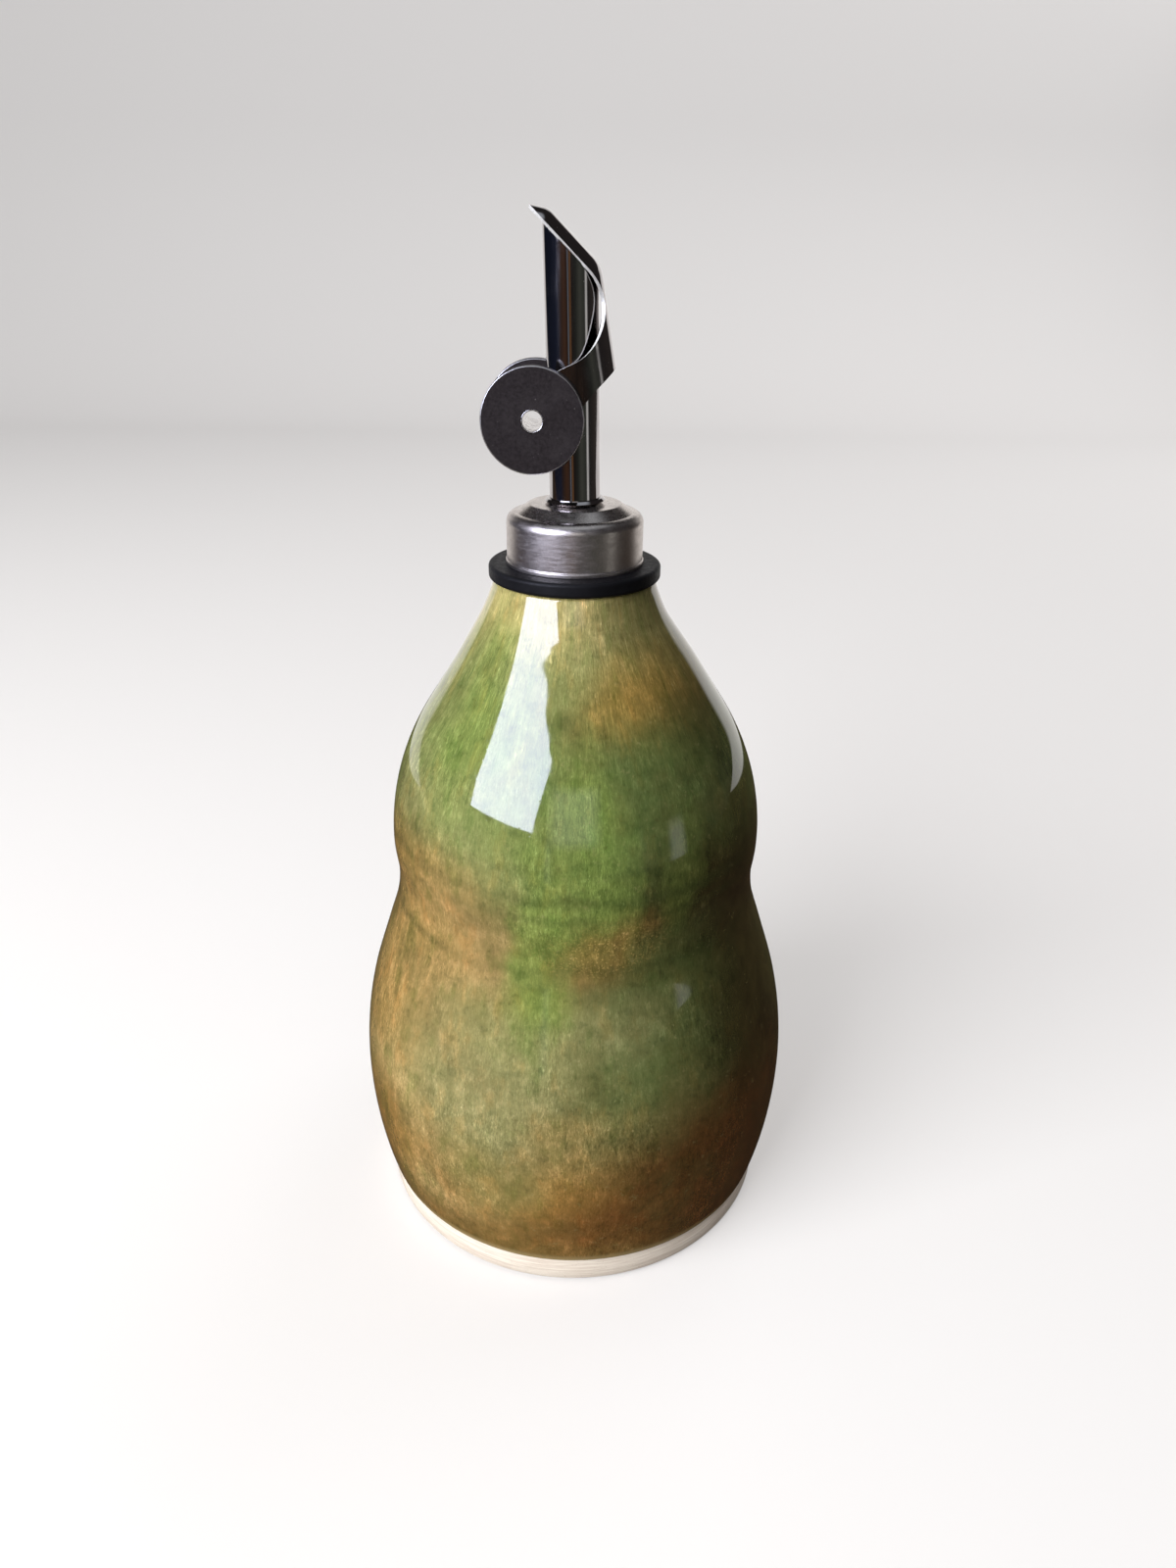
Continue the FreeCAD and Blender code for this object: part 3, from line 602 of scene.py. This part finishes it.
def glazed_outline(radius, foot):
    """The glazed body's outline, from inside its lower edge, up the wall and over the rolled rim."""
    neck, neck_in = 133 * MM, 1.5 * MM
    lip, roll, roll_from = 0.6 * MM, 1.0 * MM, 16
    spacing, steps = 0.7 * MM, 12

    def wall(height):
        """The wall's radius, drawn in a little over the neck."""
        part = clamp((height - neck) / (RIM - neck))
        return float(radius(height)) - neck_in * part * part

    outline = [(foot - lip, FOOT_TOP)]
    for step in range(steps + 1):
        turn = math.radians(90 * step / steps)
        height = FOOT_TOP + lip * (1 - math.cos(turn))
        outline.append((float(radius(height)) - lip * (1 - math.sin(turn)), height))
    heights = np.arange(FOOT_TOP + 1.6 * lip, RIM - 0.9 * roll, spacing)
    outline += [(wall(height), float(height)) for height in heights]
    for step in range(steps + 1):
        turn = math.radians(roll_from + (90 - roll_from) * step / steps)
        outline.append((wall(RIM - roll) - roll * (1 - math.cos(turn)), RIM - roll * (1 - math.sin(turn))))
    outline.append((0.0, RIM))
    return outline


def foot_outline(foot):
    """The clay foot's outline, with a softened lower edge, up to just inside the glaze."""
    bevel, soft, inset = 0.8 * MM, 0.4 * MM, 1.2 * MM
    return rounded((
        (0.0, 0.0, 0),
        (foot - bevel, 0.0, soft),
        (foot, bevel, soft),
        (foot, FOOT_TOP + 0.2 * MM, 0),
        (foot - inset, FOOT_TOP + 0.3 * MM, 0),
        (0.0, FOOT_TOP + 0.3 * MM, 0),
    ))


def make_bottle():
    """The thrown bottle: a glazed body with faint throwing rings, on a bare clay foot."""
    radius, foot = bottle_profile()
    wall = lathe("glazed_body", glazed_outline(radius, foot), segments=288, shift=thrown)
    glazed = add_piece("glazed_body", wall, "jar", "glazed_stoneware", "bottle")
    glazed.data.materials.append(glaze_material(radius))
    clay = lathe("clay_foot", foot_outline(foot), segments=192)
    base = add_piece("clay_foot", clay, "jar", "glazed_stoneware", "bottle")
    base.data.materials.append(clay_material())


def make_collar(material):
    """The steel cap: a flat bead at its foot, an upright wall, a cone and a flat plate on top."""
    low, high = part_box("collar")
    wide = 0.5 * (high.x - low.x)
    wall = wide - 0.2 * MM
    outline = rounded((
        (0.0, low.z, 0),
        (wide, low.z, 0.15 * MM),
        (wide, low.z + 0.7 * MM, 0.25 * MM),
        (wall, low.z + 0.9 * MM, 0.3 * MM),
        (wall, low.z + 9.45 * MM, 1.9 * MM),
        (10.95 * MM, low.z + 9.6 * MM, 0.25 * MM),
        (8.65 * MM, high.z, 0.8 * MM),
        (0.0, high.z, 0),
    ), steps=8)
    cap = lathe("collar_shell", outline, segments=192, middle_x=STOPPER_X)
    collar = add_piece("collar_shell", cap, "jar", "satin_steel", "collar")
    collar.data.materials.append(material)


# The flap's own sizes in millimetres, up from the collar and out from the tube's axis, as (x, z)
# in the side view before the spout leans.
TUBE = 4.75                               # the tube's radius
TUBE_TOP = 42.3                           # middle of the tube's slanted mouth
PIN_UP = 19.5                             # height of the hinge pin
HALF_WIDTH = 5.9                          # half the flap's width, over the sheet's outer faces
SHEET = 0.6                               # thickness of the sheet
MOUTH = math.radians(45)                  # slope of the mouth and of the lid over it
SEAT_GAP, LID_CROWN = 0.3, 1.8            # square to the mouth: gap to the lid's rim, rim to ridge
MOUTH_RIM = TUBE_TOP + SEAT_GAP / math.cos(MOUTH)    # where the lid's rim crosses the tube's axis
CROWN = LID_CROWN / math.cos(MOUTH)       # from there straight up to the lid's ridge
BEFORE_TUBE, BEHIND_TUBE = 2.05, 0.5      # how far the lid stands out past the tube
TIP = Vector((-TUBE - BEFORE_TUBE, MOUTH_RIM + (TUBE + BEFORE_TUBE) * math.tan(MOUTH)))
TIP_SLOPE = math.radians(13)
LID_BACK = Vector((TUBE + BEHIND_TUBE, MOUTH_RIM + CROWN - (TUBE + BEHIND_TUBE) * math.tan(MOUTH)))
SADDLE = Vector((TUBE + 2.95, PIN_UP + 4.1))    # the saddle's lower end
SADDLE_SLOPE = math.atan2(LID_BACK.y - SADDLE.y, SADDLE.x - LID_BACK.x)
HEEL = Vector((3.6, PIN_UP + 0.4))        # where the ear's lower edge starts
RIVET = Vector((-TUBE - 2.35, PIN_UP - 3.8))
EAR = 5.5                                 # radius of the ear's round end
BORE = 1.93                               # radius of the ear's hole for the rivet
# The sheet is arched like half an ellipse. The spread is how much the ridge's radius across is
# larger than half the width, and the depth is how far below the ridge the arch has its full width.
LID_SPREAD, SADDLE_SPREAD = 1.8, 0.5
LID_DEPTH = HALF_WIDTH**2 / (HALF_WIDTH + LID_SPREAD)
SADDLE_DEPTH = HALF_WIDTH**2 / (HALF_WIDTH + SADDLE_SPREAD)
SIDE_OUT = 1.1                            # how far the side edge's curve goes out past the tube
SIDE_SHARE = 0.487                        # its radius, of the height from the pin to the lid's rim
SIDE_BEND = SIDE_SHARE * (MOUTH_RIM - TUBE * math.tan(MOUTH) - PIN_UP)

# Rows of the flap's mesh, counted from the tip: to its bend, to the lid's back and to the saddle's
# end. Then the rows along the side, the ear and its round end, and the faces across each half.
TIP_ROWS, LID_ROWS, SADDLE_ROWS = 16, 60, 116
SIDE_ROWS, EAR_ROWS, END_ROWS = 24, 16, 14
COLUMNS = 20


def direction(angle):
    """The unit vector at an angle in the side view."""
    return Vector((math.cos(angle), math.sin(angle)))


def ridge_depth(point):
    """How far a point of the side view lies inside the flap's softly bent ridge line."""
    soft_bends = (0.46, 1.0)              # of the tip's bend and of the bend at the lid's back
    depths = []
    for through, slope in ((TIP, TIP_SLOPE), (LID_BACK, MOUTH), (SADDLE, SADDLE_SLOPE)):
        depths.append((through - point).dot(direction(math.pi / 2 - slope)))
    depth = depths[0]
    for other, softness in zip(depths[1:], soft_bends):
        near = max(softness - abs(depth - other), 0.0) / softness    # 1 where two slopes meet
        depth = min(depth, other) - 0.25 * softness * near * near
    return depth


def onto_ridge(point):
    """Move a point of the side view onto the softly bent ridge line."""
    step = 1e-3
    rounds = 6
    for _ in range(rounds):
        depth = ridge_depth(point)
        slope = Vector((
            ridge_depth(point + Vector((step, 0))) - depth,
            ridge_depth(point + Vector((0, step))) - depth,
        )) / step
        point = point - slope * (depth / slope.length_squared)
    return point


def along(first, last, count, power=1.0):
    """Points from first to last, without the last, closer together near the first if power > 1."""
    return [first.lerp(last, (step / count) ** power) for step in range(count)]


def arc_points(middle, radius, start, end, count):
    """Points along an arc from the angle start to the angle end, without the last."""
    return [middle + radius * direction(start + (end - start) * step / count) for step in range(count)]


def flap_sides():
    """The flap's two long edges in the side view, from the tip to the far end of the ears.

    One runs along the ridge, the saddle's end and the ear's lower edge. The other runs along the
    lid's rim, the curved side edge and the ear's upper edge.
    """
    off_rim = math.pi / 2 - MOUTH
    middle_x = TUBE + SIDE_OUT - SIDE_BEND
    rim = TIP.dot(direction(off_rim)) - SIDE_BEND
    middle = Vector((middle_x, (rim - middle_x * math.cos(off_rim)) / math.sin(off_rim)))
    between = middle - RIVET
    off_ear = math.pi / 2 + math.atan2(between.y, between.x) - math.asin((SIDE_BEND + EAR) / between.length)
    bend_top = middle + SIDE_BEND * direction(off_rim)
    bend_low = middle - SIDE_BEND * direction(off_ear)
    ear_top = RIVET + EAR * direction(off_ear)
    to_ear = RIVET - HEEL
    off_low = math.atan2(to_ear.y, to_ear.x) + 2 * math.pi + math.asin(EAR / to_ear.length) + math.pi / 2
    ear_low = RIVET + EAR * direction(off_low)
    off_end = 0.5 * (off_ear + off_low)
    spread = math.sin(MOUTH - TIP_SLOPE)
    reach = (LID_BACK - TIP).dot(direction(math.pi / 2 - MOUTH)) / spread
    tip_bend = TIP + reach * direction(-TIP_SLOPE)

    ridge = along(TIP, tip_bend, TIP_ROWS) + along(tip_bend, LID_BACK, LID_ROWS - TIP_ROWS)
    ridge += along(LID_BACK, SADDLE, SADDLE_ROWS - LID_ROWS)
    inner = [onto_ridge(point) for point in ridge]
    inner += along(SADDLE, HEEL, SIDE_ROWS, 2.0) + along(HEEL, ear_low, EAR_ROWS)
    inner += arc_points(RIVET, EAR, off_low, off_end, END_ROWS)
    outer = along(TIP, bend_top, LID_ROWS)
    outer += arc_points(middle, SIDE_BEND, off_rim, off_ear - math.pi, SADDLE_ROWS - LID_ROWS)
    part_way = bend_low.lerp(ear_top, 0.4)
    outer += along(bend_low, part_way, SIDE_ROWS) + along(part_way, ear_top, EAR_ROWS)
    outer += arc_points(RIVET, EAR, off_ear, off_end, END_ROWS)
    end = RIVET + EAR * direction(off_end)
    return inner + [end], outer + [end]


def sheet_row(near, far, depth_of_arch, side, on_ridge):
    """Points across one half of the sheet, from near to far, each with whether it is in the bore.

    The sheet is arched: the deeper a point lies below the ridge, the further out it stands. The
    points are closer together near the ridge, where the arch is flattest.
    """
    foot = Vector((STOPPER_X, 0, COLLAR_HIGH))
    lean = Matrix.Rotation(-LEAN, 3, "Y")
    line = []
    for column in range(COLUMNS + 1):
        point = near.lerp(far, (column / COLUMNS) ** 2)
        off_rivet = point - RIVET
        in_bore = off_rivet.length < BORE
        if in_bore:
            point = RIVET + off_rivet.normalized() * BORE
        depth = min(max(ridge_depth(point), 0.0), depth_of_arch) / depth_of_arch
        across = HALF_WIDTH * math.sqrt(1 - (1 - depth) ** 2)
        if column == 0 and on_ridge:
            across = 0.0
        line.append((foot + lean @ (Vector((point.x, side * across, point.y)) * MM), in_bore))
    return line


def flap_mesh():
    """The sheet's outer face, both halves, with the rivet's hole left open."""
    change_row = 0.8 * LID_ROWS           # from here on the lid's arch turns into the saddle's
    build = bmesh.new()
    bored = set()
    for side in (-1, 1):
        rows = []
        for row, (near, far) in enumerate(zip(*flap_sides())):
            blend = clamp((row - change_row) / (SADDLE_ROWS - LID_ROWS))
            depth_of_arch = LID_DEPTH + (SADDLE_DEPTH - LID_DEPTH) * blend
            line = []
            for place, in_bore in sheet_row(near, far, depth_of_arch, side, row <= SADDLE_ROWS):
                line.append(build.verts.new(place))
                if in_bore:
                    bored.add(line[-1])
            rows.append(line)
        for low, high in zip(rows, rows[1:]):
            for column in range(COLUMNS):
                corners = [low[column], low[column + 1], high[column + 1], high[column]]
                if not all(corner in bored for corner in corners):
                    build.faces.new(corners if side < 0 else corners[::-1])
    loose = [vertex for vertex in build.verts if not vertex.link_faces]
    bmesh.ops.delete(build, geom=loose, context="VERTS")
    bmesh.ops.remove_doubles(build, verts=build.verts, dist=0.002 * MM)
    bmesh.ops.recalc_face_normals(build, faces=build.faces)
    mesh = bpy.data.meshes.new("flap_sheet")
    build.to_mesh(mesh)
    build.free()
    mesh.shade_smooth()
    return mesh


def make_flap(material, cut_edge):
    """One bent sheet: pointed lid, saddle and two ears, with soft bends and a clean cut edge."""
    sheet = add_piece("flap_sheet", flap_mesh(), "flap", "polished_steel", "flap")
    solid = sheet.modifiers.new("thickness", "SOLIDIFY")
    solid.thickness = SHEET * MM
    solid.offset = -1
    solid.use_even_offset = False
    solid.material_offset_rim = 1
    edge = sheet.modifiers.new("edge", "BEVEL")
    edge.width = 0.07 * MM
    edge.segments = 2
    edge.limit_method = "ANGLE"
    edge.angle_limit = math.radians(50)
    edge.harden_normals = True
    sheet.data.materials.append(material)
    sheet.data.materials.append(cut_edge)


def make_rivet(material):
    """A hollow rivet with rolled rims, which joins the two weights and the ears between them."""
    low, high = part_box("weight_rivet")
    middle = 0.5 * (low + high)
    half, wide = 0.5 * (high.y - low.y), 0.5 * (high.z - low.z)
    bore, roll = 0.854 * wide, 0.073 * wide     # the bore's radius and the rims' rounding
    outline = [(wide, -half + roll), (wide, half - roll)]
    outline += [(wide - roll + roll * math.cos(turn), half - roll + roll * math.sin(turn))
                for turn in np.linspace(0, math.pi, 9)[1:]]
    outline += [(bore, half - roll), (bore, -half + roll)]
    outline += [(wide - roll - roll * math.cos(turn), -half + roll - roll * math.sin(turn))
                for turn in np.linspace(0, math.pi, 9)[1:-1]]
    mesh = lathe("rivet_tube", outline + outline[:1], segments=64)
    mesh.transform(Matrix.Translation(middle) @ Matrix.Rotation(math.pi / 2, 4, "X"))
    rivet = add_piece("rivet_tube", mesh, "flap", "satin_steel", "weight_rivet")
    rivet.data.materials.append(material)


# ---------------------------------------------------------------- stage

def stage_material():
    """Pale to the camera, and less so as light.

    To reflections the far part glows like a pale wall, and the rest is a dark table.
    """
    shader = Shader("floor")
    path = shader.add("ShaderNodeLightPath")
    seen = shader.math("MAXIMUM", path.outputs["Is Camera Ray"], path.outputs["Is Transmission Ray"])
    place = shader.add("ShaderNodeSeparateXYZ", {"Vector": shader.place})
    far = shader.ramp(place.outputs["Y"], 0.35, 0.37)
    aside = shader.ramp(shader.math("ABSOLUTE", place.outputs["X"]), 1.60, 1.20)
    below_top = shader.ramp(place.outputs["Z"], 0.80, 0.74)
    mirrored = shader.math("MULTIPLY", shader.math("MULTIPLY", far, aside), below_top)
    mirrored = shader.math("MULTIPLY", path.outputs["Is Glossy Ray"], mirrored)
    as_light, as_reflection = tone(0.16, 0.145, 0.135), tone(0.050, 0.030, 0.018)
    unseen = shader.mix(path.outputs["Is Glossy Ray"], as_light, as_reflection)
    colour = shader.mix(seen, unseen, tone(0.60, 0.58, 0.57))
    glow = shader.math("MAXIMUM", shader.math("MULTIPLY", seen, 0.34), mirrored)
    return shader.finish(Base_Color=colour, Roughness=0.9, Specular_IOR_Level=0.1,
                         Emission_Strength=glow, Emission_Color=tone(0.99, 0.97, 0.96))


def make_stage():
    """A plain pale floor that curves up into a backdrop and widens towards it."""
    bend, back, top = 0.35, 1.5, 0.8
    front, front_side, back_side = -0.40, 0.42, 1.7
    steps = 24
    section = [(front, 0.0), (back - bend, 0.0)]
    for step in range(1, steps + 1):
        angle = math.radians(90 * step / steps)
        section.append((back - bend + bend * math.sin(angle), bend - bend * math.cos(angle)))
    section.append((back, top))
    vertices = []
    for y, z in section:
        side = front_side + (back_side - front_side) * (y - front) / (back - front)
        vertices += [(-side, y, z), (side, y, z)]
    faces = [(2 * i, 2 * i + 1, 2 * i + 3, 2 * i + 2) for i in range(len(section) - 1)]
    mesh = bpy.data.meshes.new("floor")
    mesh.from_pydata(vertices, [], faces)
    mesh.shade_smooth()
    floor = bpy.data.objects.new("floor", mesh)
    bpy.context.scene.collection.objects.link(floor)
    floor.data.materials.append(stage_material())


def area_light(name, azimuth, elevation, distance, size, power, colour, seen_by="diffuse"):
    """A rectangular lamp that faces the jar from a direction, azimuth 0 being the front.

    It lights either diffuse surfaces or gloss.
    """
    aim = Vector((0, 0, 0.11))
    lamp = bpy.data.lights.new(name, "AREA")
    lamp.shape = "RECTANGLE"
    lamp.size, lamp.size_y = size
    lamp.energy = power
    lamp.color = colour
    turn, lift = math.radians(azimuth), math.radians(elevation)
    out = Vector((math.sin(turn) * math.cos(lift), -math.cos(turn) * math.cos(lift), math.sin(lift)))
    light = bpy.data.objects.new(name, lamp)
    light.location = aim + out * distance
    light.rotation_euler = out.to_track_quat("Z", "Y").to_euler()
    light.visible_glossy = seen_by == "glossy"
    light.visible_diffuse = seen_by == "diffuse"
    bpy.context.scene.collection.objects.link(light)


def make_lights():
    """A window at the left and soft lamps above, in front and behind.

    The window is two lamps: one gives its light, and a bluer one is what the gloss shows of it.
    """
    area_light("window", -46, 24, 1.0, (0.80, 0.62), 16.0, (0.96, 0.98, 1.0))
    area_light("window_glint", -46, 24.75, 0.97, (0.78, 0.575), 15.4, (0.74, 0.78, 1.0), "glossy")
    area_light("soft_top", -30, 76, 1.4, (1.6, 1.6), 5.0, (1.0, 0.98, 0.96))
    area_light("soft_front", 5, 30, 1.8, (1.4, 1.4), 0.8, (1.0, 1.0, 1.0))
    area_light("soft_back", 138, 34, 1.6, (1.4, 1.2), 9.0, (1.0, 1.0, 1.0))


# What gloss shows of the room below the horizon: azimuth from the front in degrees, and colour.
ROOM = (
    (-180, (0.010, 0.010, 0.012)),
    (-110, (0.012, 0.015, 0.028)),
    (-62, (0.018, 0.022, 0.042)),
    (-52, (0.04, 0.026, 0.022)),
    (-34, (0.085, 0.042, 0.024)),
    (-22, (0.06, 0.030, 0.018)),
    (-18, (0.014, 0.013, 0.014)),
    (-15, (0.30, 0.33, 0.38)),
    (-12, (0.016, 0.014, 0.014)),
    (-8, (0.22, 0.11, 0.05)),
    (-4, (0.18, 0.09, 0.04)),
    (-2, (0.022, 0.016, 0.014)),
    (16, (0.030, 0.033, 0.028)),
    (34, (0.085, 0.090, 0.075)),
    (52, (0.055, 0.060, 0.050)),
    (57, (0.06, 0.06, 0.055)),
    (60, (0.85, 0.85, 0.83)),
    (66, (0.80, 0.80, 0.78)),
    (70, (0.028, 0.026, 0.025)),
    (112, (0.060, 0.050, 0.044)),
    (136, (0.022, 0.020, 0.020)),
    (144, (0.70, 0.69, 0.67)),
    (152, (0.66, 0.65, 0.63)),
    (158, (0.020, 0.018, 0.018)),
    (180, (0.010, 0.010, 0.012)),
)


def make_world():
    """A pale studio for the camera, dim grey light, and a darker room that only gloss shows.

    The room has upright bands below the horizon. Above it are pale walls straight in front and
    behind, dark ones at the sides, and a bluish ceiling.
    """
    dark_wall = tone(0.030, 0.026, 0.026)
    pale_wall = tone(0.85, 0.84, 0.83)
    ceiling = tone(0.52, 0.56, 0.62)
    as_light = tone(0.15, 0.15, 0.155)
    to_camera = tone(0.64, 0.63, 0.62)
    world = bpy.data.worlds.new("studio")
    bpy.context.scene.world = world
    world.use_nodes = True
    tree = world.node_tree

    def feed(socket, value):
        if isinstance(value, bpy.types.NodeSocket):
            tree.links.new(value, socket)
        else:
            socket.default_value = value

    def node(kind, *values, **settings):
        made = tree.nodes.new(kind)
        for field, value in settings.items():
            setattr(made, field, value)
        for index, value in enumerate(values):
            feed(made.inputs[index], value)
        return made

    def mix(share, first, second):
        made = node("ShaderNodeMix", share, data_type="RGBA")
        feed(made.inputs["A"], first)
        feed(made.inputs["B"], second)
        return made.outputs["Result"]

    split = node("ShaderNodeSeparateXYZ", node("ShaderNodeTexCoord").outputs["Generated"])
    back = node("ShaderNodeMath", split.outputs["Y"], -1.0, operation="MULTIPLY")
    azimuth = node("ShaderNodeMath", split.outputs["X"], back.outputs[0], operation="ARCTAN2")
    around = node("ShaderNodeMapRange", azimuth.outputs[0], -math.pi, math.pi)
    bands = node("ShaderNodeValToRGB", around.outputs[0])
    stops = bands.color_ramp.elements
    stops.remove(stops[1])
    for index, (angle, colour) in enumerate(ROOM):
        stop = stops[0] if index == 0 else stops.new(1.0)
        stop.position = (angle + 180) / 360
        stop.color = tone(*colour)

    side = node("ShaderNodeMath", split.outputs["X"], operation="ABSOLUTE")
    ahead = node("ShaderNodeMapRange", side.outputs[0], 0.30, 0.16)
    low = node("ShaderNodeMapRange", split.outputs["Z"], 0.52, 0.44)
    pale = node("ShaderNodeMath", ahead.outputs[0], low.outputs[0], operation="MULTIPLY")
    walls = node("ShaderNodeValToRGB", pale.outputs[0])
    walls.color_ramp.elements[0].color = dark_wall
    walls.color_ramp.elements[1].color = pale_wall
    high = node("ShaderNodeMapRange", split.outputs["Z"], 0.84, 0.92)
    above = mix(high.outputs[0], walls.outputs["Color"], ceiling)
    lift = node("ShaderNodeMapRange", split.outputs["Z"], 0.02, 0.12)
    room = mix(lift.outputs[0], bands.outputs["Color"], above)

    path = node("ShaderNodeLightPath")
    unseen = mix(path.outputs["Is Glossy Ray"], as_light, room)
    seen = node("ShaderNodeMath", path.outputs["Is Camera Ray"], path.outputs["Is Transmission Ray"],
                operation="MAXIMUM")
    shown = mix(seen.outputs[0], unseen, to_camera)
    tree.links.new(shown, tree.nodes["Background"].inputs["Color"])


def make_camera():
    """The camera stands close in front, looks down on the jar and is rolled a little."""
    stand = Vector((2.5, -206.0, 198.4)) * MM
    pitch, roll = math.radians(26.174), math.radians(0.731)
    camera = bpy.data.cameras.new("camera")
    camera.sensor_width = 36
    camera.lens = 24.95
    camera.clip_start = 0.01
    placed = bpy.data.objects.new("camera", camera)
    right = Vector((1, 0, 0))
    up = Vector((0, math.sin(pitch), math.cos(pitch)))
    ahead = Vector((0, math.cos(pitch), -math.sin(pitch)))
    across = math.cos(roll) * right + math.sin(roll) * up
    above = math.cos(roll) * up - math.sin(roll) * right
    turn = Matrix((across, above, -ahead)).transposed().to_4x4()
    placed.matrix_world = Matrix.Translation(stand) @ turn
    bpy.context.scene.collection.objects.link(placed)
    bpy.context.scene.camera = placed


def paint(node, material):
    """Give a CAD node that stays visible its material."""
    NODES[node].data.materials.clear()
    NODES[node].data.materials.append(material)


make_camera()
make_stage()
make_world()
make_lights()
make_bottle()
make_collar(satin_steel("satin_steel", tone(0.60, 0.55, 0.51), 0.30, 0.42, COLLAR_LOW + 9.0 * MM))
mirror = polished_steel("polished_steel", tone(0.42, 0.40, 0.40))
paint("stopper_flange", rubber())
paint("pour_tube", mirror)
paint("hinge_pin", mirror)
make_flap(mirror, satin_steel("cut_edge", tone(0.86, 0.85, 0.84), 0.50, 0.62, metallic=0.4))
make_rivet(satin_steel("rivet_steel", tone(0.72, 0.70, 0.69), 0.2, 0.35))
weights = dark_steel()
paint("weight_front", weights)
paint("weight_back", weights)

bpy.context.scene.view_settings.view_transform = "Standard"
